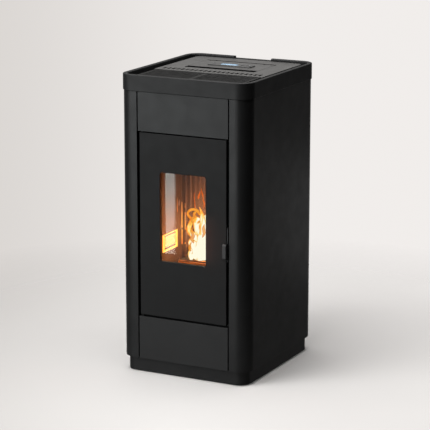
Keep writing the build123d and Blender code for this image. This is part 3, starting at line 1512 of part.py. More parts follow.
# ---------------------------------------------------------------- build
def main():
    os.makedirs("parts", exist_ok=True)
    save("base_plinth", base_plinth())
    save("levelling_feet", levelling_feet())
    save("base_plate", base_plate())
    save("side_panel_left", side_panel(-1))
    save("side_panel_right", side_panel(1))
    save("upper_front_panel", front_panel(upper_panel_bottom, cover_bottom))
    save("lower_front_panel", front_panel(plinth_height, lower_panel_top))
    save("front_frame", front_frame())
    save("rear_posts", rear_posts())
    save("rear_panel", rear_panel())
    save("rear_screws", rear_screws())
    save("top_cover", top_cover())
    save("top_plate", top_plate())
    save("air_grilles", [air_grille(-1), air_grille(1)])
    save("hopper_lid", hopper_lid())
    save("lid_seal", lid_seal())
    save("control_panel", control_panel())
    save("display_window", display_window())
    for index, x in enumerate(button_xs):
        save(f"control_button_{index + 1}", control_button(x))
    save("door_panel", door_panel())
    save("door_frame", door_frame())
    save("door_glass", door_glass())
    save("glass_clips", glass_clips())
    save("door_seal", door_seal())
    save("hinge_brackets", hinge_brackets())
    save("hinge_pins", hinge_pins())
    save("door_handle", door_handle())
    save("latch_catch", latch_catch())
    save("firebox_body", firebox_body())
    save("liner_back", liner_back())
    save("side_liners", side_liners())
    save("baffle_plate", baffle_plate())
    save("burn_pot", burn_pot())
    save("igniter", igniter())
    save("ash_drawer", ash_drawer())
    save("heat_exchanger", heat_exchanger())
    save("air_plenum", air_plenum())
    save("smoke_duct", smoke_duct())
    save("exhaust_fan_housing", exhaust_fan_housing())
    save("exhaust_fan_rotor", exhaust_fan_rotor())
    save("exhaust_fan_motor", exhaust_fan_motor())
    save("flue_outlet", flue_outlet())
    save("air_intake_pipe", air_intake_pipe())
    save("room_fan_housing", room_fan_housing())
    save("room_fan_rotor", room_fan_rotor())
    save("room_fan_motor", room_fan_motor())
    save("pellet_hopper", pellet_hopper())
    save("hopper_guard", hopper_guard())
    save("auger_tube", auger_tube())
    save("auger_screw", auger_screw())
    save("auger_motor", auger_motor())
    save("pellet_chute", pellet_chute())
    save("control_board", control_board())
    save("mains_inlet", mains_inlet())
    save("rocker_switch", rocker_switch())
    save("thermostat", thermostat())
    save("reset_button", reset_button())


main()
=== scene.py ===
"""The looks of the pellet stove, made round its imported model.

Metres, +Z up, -Y towards the door, +X to the right of someone who faces it.
"""

import json
import math
import random

import bmesh
import bpy
from mathutils import Matrix, Vector


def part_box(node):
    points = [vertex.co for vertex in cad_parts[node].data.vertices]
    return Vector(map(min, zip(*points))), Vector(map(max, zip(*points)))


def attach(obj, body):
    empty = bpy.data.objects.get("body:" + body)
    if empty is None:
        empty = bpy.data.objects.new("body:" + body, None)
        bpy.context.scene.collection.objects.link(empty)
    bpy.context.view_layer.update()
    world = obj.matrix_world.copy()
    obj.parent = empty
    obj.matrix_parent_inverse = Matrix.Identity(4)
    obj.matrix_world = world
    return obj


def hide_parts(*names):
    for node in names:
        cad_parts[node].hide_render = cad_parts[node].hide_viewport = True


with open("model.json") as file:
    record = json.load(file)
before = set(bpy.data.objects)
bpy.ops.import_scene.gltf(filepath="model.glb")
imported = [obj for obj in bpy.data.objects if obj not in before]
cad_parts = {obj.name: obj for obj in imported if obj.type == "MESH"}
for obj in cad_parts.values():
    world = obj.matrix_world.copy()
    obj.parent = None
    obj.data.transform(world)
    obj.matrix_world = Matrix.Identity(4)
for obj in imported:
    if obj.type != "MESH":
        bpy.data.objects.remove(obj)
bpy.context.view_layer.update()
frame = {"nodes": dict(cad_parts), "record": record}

MM = 0.001

# ---------------- camera, stage and light
# The viewpoint was found by fitting the stove's edges in the photograph, 430 pixels wide.
PHOTO_PIXELS = 430
FOCAL_PIXELS = 1996.0
SENSOR = 36.0                     # millimetres, as the lens is
VIEW_AZIMUTH = math.radians(27.0)
VIEW_ELEVATION = math.radians(13.2)
CAMERA_PLACE = Vector((3.1835, -6.2782, 2.1915))
FAR_CLIP = 60
# Two fixed directions of the room: to the right and into the distance of the photograph.
ACROSS = (math.cos(VIEW_AZIMUTH), math.sin(VIEW_AZIMUTH), 0)
AWAY = (-math.sin(VIEW_AZIMUTH), math.cos(VIEW_AZIMUTH), 0)

BACKGROUND_LEFT = (0.70, 0.67, 0.645)
BACKGROUND_RIGHT = (0.88, 0.85, 0.83)
BACKGROUND_SPREAD = (-0.13, 0.02)     # where the left colour ends and the right one begins
ROOM_DARK = (0.03, 0.03, 0.03)
ROOM_PALE = (0.62, 0.605, 0.59)
ROOM_SPREAD = (0.54, 1.0)
FLOOR_COLOUR = (0.80, 0.775, 0.755)
FLOOR_CLOUDS = 0.985              # how much darker its faint clouds are
# painted shade: the floor is darker towards the left, against the low lamps' light there
FLOOR_LEFT_SHADE = (0.545, 0.525, 0.51)
FLOOR_LEFT_SHADE_SPREAD = (-0.15, -0.90)    # metres along ACROSS, from FLOOR_COLOUR to FLOOR_LEFT_SHADE
FLOOR_RADIUS = 1.9
FLOOR_SOLID = 0.15                # share of the radius that is opaque

STOVE_MIDDLE = (0, 0, 0.55)
STRIP_LIGHT = (0.70, 0.92, 0.93)  # cool, because it is seen over the brown fireback
REVEAL_LIGHT = (1.0, 0.22, 0.03)
DOOR_LIGHT = (1.0, 0.26, 0.10)
FIRE_LIGHT = (1.0, 0.50, 0.20)
FIRE_WATTS = 2.8

# ---------------- fire
POT_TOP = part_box("burn_pot")[1].z
TONGUE_SIDES = 20
TONGUE_STEPS = 8                  # rings of a tongue between two stations
TONGUE_DEPTH = 0.75               # how deep a tongue is for its width
TONGUE_TIP = 0.2 * MM             # its smallest radius
# Each tongue is a centreline of (x, y, z, radius) in millimetres, from its root to its tip.
BODY_TONGUES = {
    "heart": [(8, -140, 410, 31), (6, -142, 430, 31), (8, -141, 456, 26), (4, -140, 484, 20),
              (8, -139, 512, 19), (10, -140, 540, 16), (8, -141, 562, 11), (2, -140, 582, 5),
              (-6, -140, 600, 0.8)],
    "left_root": [(-24, -150, 410, 17), (-35, -151, 421, 12), (-38, -150, 430, 8),
                  (-33, -150, 446, 3)],
    "left_middle": [(-8, -146, 440, 16), (-26, -147, 456, 14), (-39, -146, 466, 9),
                    (-34, -146, 480, 6), (-22, -145, 492, 2)],
    "left_lick": [(-12, -140, 476, 12), (-34, -139, 492, 12), (-49, -138, 509, 9),
                  (-46, -139, 526, 8.5), (-36, -140, 546, 9), (-24, -140, 560, 4)],
    "inner_lick": [(-8, -142, 500, 12), (-18, -142, 524, 11), (-18, -142, 546, 9),
                   (-8, -141, 560, 6)],
    "right_root": [(26, -136, 410, 18), (34, -134, 430, 17), (30, -134, 466, 15),
                   (34, -136, 500, 10), (38, -137, 524, 2)],
    "right_lick": [(20, -134, 500, 13), (26, -134, 530, 11), (20, -135, 560, 7),
                   (24, -135, 594, 0.8)],
    "right_back": [(12, -122, 410, 20), (18, -120, 450, 20), (14, -122, 500, 17),
                   (20, -124, 540, 12), (14, -126, 572, 3)],
}
CURL_TONGUES = {
    "curl": [(-8, -138, 540, 8), (-26, -138, 551, 6.4), (-43, -138, 554, 5.0),
             (-54, -138, 567, 4.4), (-46, -139, 580, 4.4), (-31, -139, 587, 4.6),
             (-15, -138, 583, 6.0), (-6, -137, 568, 5.0)],
    "curl_middle": [(-20, -134, 552, 6), (-30, -134, 566, 6.0), (-22, -134, 580, 3)],
}
VEIL_TONGUES = {
    "hook": [(-26, -166, 440, 2.0), (-33, -166, 452, 4.6), (-29, -166, 463, 3.6),
             (-23, -166, 474, 0.6)],
    "low": [(-16, -163, 470, 2.0), (-25, -163, 484, 6.0), (-19, -163, 498, 7.0),
            (-26, -163, 514, 4.0), (-22, -163, 526, 0.6)],
    "high": [(16, -160, 494, 1.4), (24, -160, 510, 6.0), (21, -160, 528, 5.0),
             (25, -160, 544, 0.6)],
    "inside": [(-26, -152, 538, 1.4), (-30, -152, 552, 5.0), (-22, -152, 562, 4.0),
               (-18, -152, 570, 0.6)],
}
WISP_TONGUES = {
    "left": [(-22, -141, 590, 1.6), (-24, -141, 610, 1.8), (-26, -141, 634, 1.8),
             (-25, -141, 650, 0.3)],
    "middle": [(-11, -140, 626, 0.6), (-9, -140, 636, 4.4), (-5, -140, 646, 3.4),
               (-3, -140, 658, 0.3)],
    "right": [(10, -139, 632, 0.5), (7, -139, 643, 3.6), (3, -139, 655, 2.6),
              (1, -139, 668, 0.3)],
    "low": [(10, -139, 594, 1.6), (13, -139, 612, 2.6), (8, -139, 630, 1.6),
            (9, -139, 644, 0.3)],
}


# ---------------- small helpers
def mesh_object(name, bm, material, smooth=False):
    """Turns a bmesh into an object of the scene."""
    mesh = bpy.data.meshes.new(name)
    bm.normal_update()
    bm.to_mesh(mesh)
    bm.free()
    made = bpy.data.objects.new(name, mesh)
    bpy.context.collection.objects.link(made)
    made.data.materials.append(material)
    for face in mesh.polygons:
        face.use_smooth = smooth
    return made


def join_rings(bm, rings, capped=True):
    """Adds the faces between rings of equally many vertices, and those that close both ends."""
    for low, high in zip(rings, rings[1:]):
        for k in range(len(low)):
            after = (k + 1) % len(low)
            bm.faces.new((low[k], low[after], high[after], high[k]))
    if capped:
        bm.faces.new(list(reversed(rings[0])))
        bm.faces.new(rings[-1])


def aim(obj, place, target):
    """Puts a lamp at a place and turns it to face a target."""
    obj.location = place
    obj.rotation_mode = "QUATERNION"
    obj.rotation_quaternion = (Vector(target) - Vector(place)).to_track_quat("-Z", "Y")


def smooth_path(stations, steps):
    """Points along a smooth cubic curve through the stations, each a tuple like them."""
    last = len(stations) - 1
    path = []
    for span in range(last):
        p0 = stations[max(span - 1, 0)]
        p1 = stations[span]
        p2 = stations[span + 1]
        p3 = stations[min(span + 2, last)]
        for step in range(steps):
            t = step / steps
            path.append(tuple(
                0.5 * (2 * b + (c - a) * t + (2 * a - 5 * b + 4 * c - d) * t * t
                       + (3 * b - a - 3 * c + d) * t ** 3)
                for a, b, c, d in zip(p0, p1, p2, p3)))
    path.append(stations[last])
    return path


# ---------------- materials
class Finish:
    """One material: a Principled shader and the textures that vary it over the piece."""

    NOISE_LOW, NOISE_HIGH = 0.3, 0.7  # most of a noise's values lie between these

    def __init__(self, name, colour, roughness, metallic=0.0):
        self.material = bpy.data.materials.new(name)
        self.material.use_nodes = True
        self.tree = self.material.node_tree
        self.shader = self.tree.nodes["Principled BSDF"]
        self.output = self.tree.nodes["Material Output"]
        self.colour = colour
        self.set(self.shader, {"Base Color": (*colour, 1), "Roughness": roughness,
                               "Metallic": metallic})
        self.place = self.tree.nodes.new("ShaderNodeTexCoord").outputs["Object"]
        self.normal = None

    def set(self, node, values):
        for key, value in values.items():
            node.inputs[key].default_value = value

    def node(self, kind, values=None, **properties):
        made = self.tree.nodes.new(kind)
        for key, value in properties.items():
            setattr(made, key, value)
        self.set(made, values or {})
        return made

    def link(self, source, target):
        self.tree.links.new(source, target)

    def noise(self, size, detail=2.0, stretch=(1, 1, 1)):
        """A noise whose grains are about this size, stretched along each axis."""
        mapping = self.node("ShaderNodeMapping", {"Scale": tuple(1 / s for s in stretch)})
        self.link(self.place, mapping.inputs["Vector"])
        noise = self.node("ShaderNodeTexNoise", {"Scale": 1 / size, "Detail": detail})
        self.link(mapping.outputs["Vector"], noise.inputs["Vector"])
        return noise.outputs["Fac"]

    def ramp(self, factor, low, high, to_low=0.0, to_high=1.0):
        """Maps a value from one range to another, and holds it at the ends."""
        spread = self.node("ShaderNodeMapRange", {"From Min": low, "From Max": high,
                                                  "To Min": to_low, "To Max": to_high})
        self.link(factor, spread.inputs["Value"])
        return spread.outputs["Result"]

    def mix(self, factor, first, second):
        """Mixes two colours, each a constant or a socket."""
        mix = self.node("ShaderNodeMix", data_type="RGBA")
        self.link(factor, mix.inputs["Factor"])
        for value, socket in ((first, mix.inputs["A"]), (second, mix.inputs["B"])):
            if isinstance(value, tuple):
                socket.default_value = (*value, 1)
            else:
                self.link(value, socket)
        return mix.outputs["Result"]

    def tint(self, factor, other, low=0.35, high=0.65):
        """Varies the base colour towards another, where the factor is high."""
        base = self.shader.inputs["Base Color"]
        before = base.links[0].from_socket if base.links else self.colour
        self.link(self.mix(self.ramp(factor, low, high), before, other), base)

    def rough(self, factor, low, high):
        """Varies the roughness with a noise."""
        self.link(self.ramp(factor, self.NOISE_LOW, self.NOISE_HIGH, low, high),
                  self.shader.inputs["Roughness"])

    def shine(self, colour, strength):
        """Makes the surface glow in the colour of a socket."""
        self.link(colour, self.shader.inputs["Emission Color"])
        self.set(self.shader, {"Emission Strength": strength})

    def soft_edges(self, radius):
        """Rounds the look of sharp edges, which catch the light as on real sheet."""
        bevel = self.node("ShaderNodeBevel", {"Radius": radius}, samples=4)
        self.bend(bevel.outputs["Normal"])

    def bump(self, height, distance):
        """Adds relief on top of the normal so far."""
        bump = self.node("ShaderNodeBump", {"Strength": 1.0, "Distance": distance})
        self.link(height, bump.inputs["Height"])
        if self.normal:
            self.link(self.normal, bump.inputs["Normal"])
        self.bend(bump.outputs["Normal"])

    def bend(self, socket):
        self.normal = socket
        self.link(socket, self.shader.inputs["Normal"])


FOOT_RISE = (0.10, 0.60)          # heights between which a coat turns from its paler foot colour, painted light
CLOUD_LIFT = 1.18                 # how much paler a coat's clouds are


def powder_coat(name, colour, low, high, gloss=0.5, grain=0.9 * MM, depth=0.03 * MM,
                edge=0.7 * MM, foot=None):
    """Textured powder coat: a fine orange peel, cloudy gloss and softly lit edges.

    Its roughness lies between low and high. Given a foot colour, the coat turns to that paler
    colour at the bottom of the stove, which is painted light."""
    coat = Finish(name, colour, high)
    coat.set(coat.shader, {"Specular IOR Level": gloss})
    coat.soft_edges(edge)
    coat.bump(coat.noise(grain, 3.0), depth)
    coat.rough(coat.noise(45 * MM, 3.0), low, high)
    # painted light: the base colour turns to the paler foot colour towards the bottom
    if foot:
        place = coat.node("ShaderNodeSeparateXYZ")
        coat.link(coat.place, place.inputs[0])
        rise = coat.ramp(place.outputs["Z"], *FOOT_RISE)
        coat.link(coat.mix(rise, foot, colour), coat.shader.inputs["Base Color"])
    coat.tint(coat.noise(0.12, 2.0), tuple(CLOUD_LIFT * c for c in colour), 0.4, 0.75)
    return coat.material


def zinc_sheet():
    """Zinc-plated sheet: fine rolling lines and patches of duller plate."""
    zinc = Finish("zinc_sheet", (0.40, 0.41, 0.42), 0.38, 1.0)
    zinc.soft_edges(0.5 * MM)
    zinc.bump(zinc.noise(0.5 * MM, 2.0, (1, 1, 30)), 0.008 * MM)
    zinc.rough(zinc.noise(18 * MM, 4.0), 0.30, 0.46)
    zinc.tint(zinc.noise(30 * MM, 3.0), (0.30, 0.31, 0.33))
    return zinc.material


def machined_steel():
    """Turned and milled steel, with patches of darker oil film."""
    steel = Finish("machined_steel", (0.36, 0.36, 0.37), 0.3, 1.0)
    steel.soft_edges(0.25 * MM)
    steel.rough(steel.noise(4 * MM, 3.0), 0.22, 0.4)
    steel.tint(steel.noise(3 * MM, 2.0), (0.26, 0.26, 0.28))
    return steel.material


def cast_iron(name="cast_iron", colour=(0.045, 0.042, 0.040), soot_and_gap_shade=(0.012, 0.011, 0.010)):
    """Sand-cast iron with a rough skin, sooty in patches."""
    iron = Finish(name, colour, 0.6, 0.35)
    iron.soft_edges(0.8 * MM)
    iron.bump(iron.noise(1.6 * MM, 5.0), 0.12 * MM)
    iron.rough(iron.noise(12 * MM, 3.0), 0.48, 0.75)
    iron.tint(iron.noise(28 * MM, 4.0), soot_and_gap_shade)
    return iron.material


def fireback():
    """The fluted fireback: glossy plate, brown from the heat, darker in soft patches."""
    plate = Finish("fireback", (0.24, 0.155, 0.125), 0.30, 0.45)
    plate.soft_edges(0.6 * MM)
    plate.bump(plate.noise(6.0 * MM, 3.0), 0.03 * MM)
    plate.rough(plate.noise(25 * MM, 2.0, (1, 1, 3)), 0.12, 0.30)
    plate.tint(plate.noise(0.11, 2.0, (1, 1, 2)), (0.150, 0.095, 0.078), 0.38, 0.72)
    return plate.material


def motor_case():
    """The fans' and gear motor's dark cast cases."""
    case = Finish("motor_case", (0.07, 0.07, 0.078), 0.42)
    case.soft_edges(0.4 * MM)
    case.bump(case.noise(1.2 * MM, 3.0), 0.03 * MM)
    case.rough(case.noise(10 * MM, 2.0), 0.34, 0.5)
    return case.material


def stove_glass():
    """Clear glass ceramic with the faint amber of the real thing."""
    glass = Finish("stove_glass", (0.97, 0.94, 0.90), 0.0)
    glass.set(glass.shader, {"Transmission Weight": 1.0, "IOR": 1.33})
    return glass.material


def moulded(name, colour, low, high, grain=0.35 * MM, depth=0.015 * MM, gloss=0.5):
    """Moulded plastic or rubber with a fine eroded grain."""
    skin = Finish(name, colour, high)
    skin.set(skin.shader, {"Specular IOR Level": gloss})
    skin.soft_edges(0.3 * MM)
    skin.bump(skin.noise(grain, 2.0), depth)
    skin.rough(skin.noise(6 * MM, 2.0), low, high)
    return skin.material


def glass_rope():
    """Grey glass-fibre yarn."""
    rope = Finish("glass_rope", (0.09, 0.09, 0.088), 0.85)
    rope.bump(rope.noise(0.25 * MM, 2.0), 0.05 * MM)
    rope.tint(rope.noise(2.5 * MM, 3.0), (0.16, 0.155, 0.15))
    return rope.material


def lit_display():
    """The backlit pane: blue, and faintly cloudy."""
    pane = Finish("lit_display", (0.10, 0.20, 0.30), 0.15)
    share = pane.ramp(pane.noise(16 * MM, 1.0), pane.NOISE_LOW, pane.NOISE_HIGH)
    light = pane.mix(share, (0.15, 0.32, 0.50), (0.21, 0.40, 0.58))
    pane.shine(light, 0.58)
    return pane.material


def glow(name, colour, strength):
    """Small lit marks and segments."""
    mark = Finish(name, colour, 0.4)
    share = mark.ramp(mark.noise(2 * MM, 1.0), mark.NOISE_LOW, mark.NOISE_HIGH)
    shade = mark.mix(share, colour, tuple(0.85 * c for c in colour))
    mark.shine(shade, strength)
    return mark.material


def circuit_board():
    """Green lacquer over square copper fields."""
    board = Finish("circuit_board", (0.015, 0.11, 0.05), 0.3)
    cells = board.node("ShaderNodeTexVoronoi", {"Scale": 260.0}, feature="F1",
                       distance="CHEBYCHEV")
    board.link(board.place, cells.inputs["Vector"])
    board.tint(cells.outputs["Distance"], (0.02, 0.17, 0.075), 0.3, 0.34)
    board.bump(cells.outputs["Distance"], 0.05 * MM)
    return board.material


def flame(name, heart, body, edge, strength, depths, solid=1.0, drift=(0.0, 0.0, 0.0), level=0.0):
    """Fire: a bright heart that turns to orange towards its rim and in restless streaks.

    The depths are where heart, body and edge colours lie on the ramp, and solid is how dense the
    middle is. The drift makes it redder along a direction of the object, and its level shifts it
    as a whole."""
    swirl_weight = 2.2
    total_low, total_high = 0.5, 2.3
    rim_start, rim_end = 0.30, 0.96
    fire = Finish(name, body, 1.0)
    facing = fire.node("ShaderNodeLayerWeight", {"Blend": 0.5}).outputs["Facing"]
    swirl = fire.noise(15 * MM, 3.0, (1, 1, 2.6))
    depth = fire.node("ShaderNodeMath", {1: swirl_weight}, operation="MULTIPLY_ADD")
    fire.link(swirl, depth.inputs[0])
    fire.link(fire.ramp(facing, 0.0, 1.0, -0.3, 1.3), depth.inputs[2])
    along = fire.node("ShaderNodeVectorMath", {1: drift}, operation="DOT_PRODUCT")
    fire.link(fire.place, along.inputs[0])
    whole = fire.node("ShaderNodeMath", {1: level}, operation="ADD")
    fire.link(along.outputs["Value"], whole.inputs[0])
    total = fire.node("ShaderNodeMath", operation="ADD")
    fire.link(depth.outputs[0], total.inputs[0])
    fire.link(whole.outputs[0], total.inputs[1])
    colours = fire.node("ShaderNodeValToRGB")
    stops = colours.color_ramp.elements
    stops[0].position, stops[0].color = depths[0], (*heart, 1)
    stops[1].position, stops[1].color = depths[2], (*edge, 1)
    middle = stops.new(depths[1])
    middle.color = (*body, 1)
    fire.link(fire.ramp(total.outputs[0], total_low, total_high), colours.inputs["Fac"])
    light = fire.node("ShaderNodeEmission", {"Strength": strength})
    fire.link(colours.outputs["Color"], light.inputs["Color"])
    clear = fire.node("ShaderNodeBsdfTransparent")
    blend = fire.node("ShaderNodeMixShader")
    fire.link(fire.ramp(facing, rim_start, rim_end, solid, 0.0), blend.inputs["Fac"])
    fire.link(clear.outputs[0], blend.inputs[1])
    fire.link(light.outputs[0], blend.inputs[2])
    fire.link(blend.outputs[0], fire.output.inputs["Surface"])
    fire.tree.nodes.remove(fire.shader)
    return fire.material


def ember():
    """Charred pellets that glow between their cracks."""
    coal = Finish("ember", (0.03, 0.022, 0.018), 0.9)
    cracks = coal.noise(5 * MM, 4.0)
    coal.bump(cracks, 0.5 * MM)
    hot = coal.mix(coal.ramp(cracks, 0.42, 0.62), (0.05, 0.008, 0.002), (1.0, 0.32, 0.05))
    coal.shine(hot, 2.2)
    return coal.material


def tile_with_painted_firelight(name, low, high, strength):
    """Pale refractory with painted firelight, as beside the fire."""
    tile = Finish(name, (0.62, 0.47, 0.28), 0.5)
    tile.bump(tile.noise(2 * MM, 4.0), 0.12 * MM)
    # painted firelight: the tile glows, paler in soft patches
    heat = tile.mix(tile.ramp(tile.noise(30 * MM, 2.0), 0.35, 0.7), low, high)
    tile.shine(heat, strength)
    return tile.material


POT_FRONT = (-0.190, -0.176)      # where, along Y, the painted firelight on the pot's rim fades
POT_RIM = (14 * MM, 9 * MM)       # how far below the pot's top it sets in and is full


def pot_with_painted_firelight():
    """The burn pot's iron, with painted firelight along the front of its rim."""
    iron = Finish("pot_with_painted_firelight", (0.040, 0.036, 0.033), 0.55, 0.35)
    iron.soft_edges(0.8 * MM)
    iron.bump(iron.noise(1.6 * MM, 5.0), 0.12 * MM)
    iron.tint(iron.noise(22 * MM, 4.0), (0.014, 0.012, 0.011))
    place = iron.node("ShaderNodeSeparateXYZ")
    iron.link(iron.place, place.inputs[0])
    front = iron.ramp(place.outputs["Y"], *POT_FRONT, 1.0, 0.0)
    streaks = iron.ramp(iron.noise(7 * MM, 3.0, (6, 1, 0.35)), 0.40, 0.62, 0.12, 1.0)
    rim = iron.ramp(place.outputs["Z"], POT_TOP - POT_RIM[0], POT_TOP - POT_RIM[1])
    rim_front = iron.node("ShaderNodeMath", operation="MULTIPLY")
    iron.link(front, rim_front.inputs[0])
    iron.link(rim, rim_front.inputs[1])
    painted_light_share = iron.node("ShaderNodeMath", operation="MULTIPLY")
    iron.link(rim_front.outputs[0], painted_light_share.inputs[0])
    iron.link(streaks, painted_light_share.inputs[1])
    # painted firelight: the rim's front glows orange in streaks
    heat = iron.mix(painted_light_share.outputs[0], (0.0, 0.0, 0.0), (0.80, 0.17, 0.025))
    iron.shine(heat, 0.9)
    return iron.material


def ash():
    """Pale grey ash with darker flecks of char."""
    dust = Finish("ash", (0.30, 0.27, 0.25), 0.95)
    dust.bump(dust.noise(1.5 * MM, 5.0), 0.3 * MM)
    dust.tint(dust.noise(7 * MM, 4.0), (0.10, 0.085, 0.075))
    return dust.material


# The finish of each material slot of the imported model.
FINISHES = {
    # its paler foot colour is painted light
    "black_steel": powder_coat("black_powder_coat", (0.0080, 0.0080, 0.0082), 0.40, 0.47, 0.28,
                               edge=1.2 * MM, foot=(0.0140, 0.0140, 0.0142)),
    "plate_steel": powder_coat("satin_top_coat", (0.045, 0.0435, 0.042), 0.36, 0.44),
    "black_inner": powder_coat("heat_paint", (0.014, 0.014, 0.014), 0.60, 0.72, 0.4,
                               1.4 * MM, 0.05 * MM),
    "bare_steel": zinc_sheet(),
    "steel_fastener": machined_steel(),
    "cast_iron": cast_iron(),
    "fireback": fireback(),
    "motor_case": motor_case(),
    "fire_glass": stove_glass(),
    "rope": glass_rope(),
    "silicone": moulded("silicone", (0.025, 0.025, 0.025), 0.55, 0.7),
    "rubber_foot": moulded("rubber", (0.018, 0.018, 0.018), 0.6, 0.8, 0.8 * MM, 0.04 * MM),
    "black_plastic": moulded("black_plastic", (0.022, 0.022, 0.023), 0.36, 0.5),
    "display": lit_display(),
    "circuit": circuit_board(),
    "red_plastic": moulded("red_plastic", (0.45, 0.03, 0.02), 0.25, 0.4),
}
# painted light: a paler copy of the black coat, for the lower front panel
LOWER_COAT = powder_coat("lower_coat", (0.0135, 0.0135, 0.0137), 0.50, 0.58, 0.31,
                         edge=1.2 * MM)
# the door's own darker coat; its paler foot colour is painted light
DOOR_COAT = powder_coat("door_coat", (0.0090, 0.0090, 0.0092), 0.52, 0.60, 0.165,
                        edge=2.2 * MM, foot=(0.0105, 0.0105, 0.0107))
# painted light: a paler copy of the black coat, for the light on the handle's face
HANDLE_COAT = powder_coat("handle_coat", (0.024, 0.024, 0.0245), 0.42, 0.50, 0.35,
                          edge=1.0 * MM)
HINGE_BLACK = cast_iron("hinge_black", (0.012, 0.012, 0.012), (0.006, 0.006, 0.006))
COVER_COAT = powder_coat("cover_coat", (0.0080, 0.0080, 0.0082), 0.50, 0.58, 0.30)
GRILLE_COAT = powder_coat("grille_coat", (0.012, 0.0118, 0.0115), 0.42, 0.55, 0.13)
PANEL_COAT = powder_coat("panel_coat", (0.045, 0.044, 0.043), 0.38, 0.46, 0.5,
                         0.5 * MM, 0.02 * MM, 0.4 * MM)
POT_COAT = pot_with_painted_firelight()
# near-black backing seen in the side tiles' gaps: painted shade
GAP_SHADE = cast_iron("soot_and_gap_shade", (0.008, 0.007, 0.006), (0.003, 0.003, 0.003))
# near-black, in the lid's slot and gaps: painted shade
SLOT_SHADE = moulded("painted_slot_shade", (0.003, 0.003, 0.003), 0.8, 0.9, gloss=0.03)
# Nodes whose finish differs from that of their slot.
OWN_FINISHES = {
    "door_panel": DOOR_COAT,
    "door_handle": HANDLE_COAT,
    "lower_front_panel": LOWER_COAT,
    "hinge_pins": HINGE_BLACK,
    "hinge_brackets": HINGE_BLACK,
    "base_plate": HINGE_BLACK,
    "control_panel": PANEL_COAT,
    "burn_pot": POT_COAT,
    "top_cover": COVER_COAT,
}


def dress_cad():
    """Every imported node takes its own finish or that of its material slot."""
    for part in frame["record"]["subparts"]:
        name = part["node"]
        finish = OWN_FINISHES.get(name, FINISHES[part["material_slot"]])
        for place in frame["nodes"][name].material_slots:
            place.material = finish


# ---------------- stage
def add_camera():
    """The photograph's camera, from the fitted viewpoint."""
    back = Vector((math.sin(VIEW_AZIMUTH) * math.cos(VIEW_ELEVATION),
                   -math.cos(VIEW_AZIMUTH) * math.cos(VIEW_ELEVATION), math.sin(VIEW_ELEVATION)))
    right = Vector(ACROSS)
    data = bpy.data.cameras.new("camera")
    data.sensor_width = SENSOR
    data.lens = SENSOR * FOCAL_PIXELS / PHOTO_PIXELS
    data.clip_end = FAR_CLIP
    camera = bpy.data.objects.new("camera", data)
    turn = Matrix((right, back.cross(right), back)).transposed()
    camera.matrix_world = Matrix.Translation(CAMERA_PLACE) @ turn.to_4x4()
    bpy.context.collection.objects.link(camera)
    bpy.context.scene.camera = camera


def softbox(name, place, target, size, radiance, colour=(1, 1, 1), glossy=True):
    """A rectangular lamp of the given radiance, in units where 1 renders as white."""
    width, height = size
    data = bpy.data.lights.new(name, "AREA")
    data.shape = "RECTANGLE"
    data.size = width
    data.size_y = height
    data.energy = radiance * math.pi * width * height
    data.color = colour
    lamp = bpy.data.objects.new(name, data)
    aim(lamp, place, target)
    lamp.visible_camera = False
    lamp.visible_transmission = False
    lamp.visible_glossy = glossy
    bpy.context.collection.objects.link(lamp)


def add_world():
    """A pale studio: a plain background to look at, and a dimmer, uneven room to be lit by."""
    world = bpy.data.worlds.new("studio")
    world.use_nodes = True
    bpy.context.scene.world = world
    tree = world.node_tree
    nodes, links = tree.nodes, tree.links
    nodes.clear()
    output = nodes.new("ShaderNodeOutputWorld")
    seen = nodes.new("ShaderNodeBackground")
    room = nodes.new("ShaderNodeBackground")
    blend = nodes.new("ShaderNodeMixShader")
    rays = nodes.new("ShaderNodeLightPath")
    direction = nodes.new("ShaderNodeTexCoord")

    def spread(axis, reach, first, second):
        """A colour that changes along one direction of the room, within its reach."""
        along = nodes.new("ShaderNodeVectorMath")
        along.operation = "DOT_PRODUCT"
        along.inputs[1].default_value = axis
        links.new(direction.outputs["Generated"], along.inputs[0])
        share = nodes.new("ShaderNodeMapRange")
        share.inputs["From Min"].default_value = reach[0]
        share.inputs["From Max"].default_value = reach[1]
        share.interpolation_type = "SMOOTHSTEP"
        links.new(along.outputs["Value"], share.inputs["Value"])
        mix = nodes.new("ShaderNodeMix")
        mix.data_type = "RGBA"
        mix.inputs["A"].default_value = (*first, 1)
        mix.inputs["B"].default_value = (*second, 1)
        links.new(share.outputs["Result"], mix.inputs["Factor"])
        return mix.outputs["Result"]

    links.new(spread(ACROSS, BACKGROUND_SPREAD, BACKGROUND_LEFT, BACKGROUND_RIGHT),
              seen.inputs["Color"])
    links.new(spread(AWAY, ROOM_SPREAD, ROOM_DARK, ROOM_PALE), room.inputs["Color"])
    # the background shows directly and through the glass
    looked_at = nodes.new("ShaderNodeMath")
    looked_at.operation = "MAXIMUM"
    links.new(rays.outputs["Is Camera Ray"], looked_at.inputs[0])
    links.new(rays.outputs["Is Transmission Ray"], looked_at.inputs[1])
    links.new(looked_at.outputs[0], blend.inputs["Fac"])
    links.new(room.outputs[0], blend.inputs[1])
    links.new(seen.outputs[0], blend.inputs[2])
    links.new(blend.outputs[0], output.inputs["Surface"])


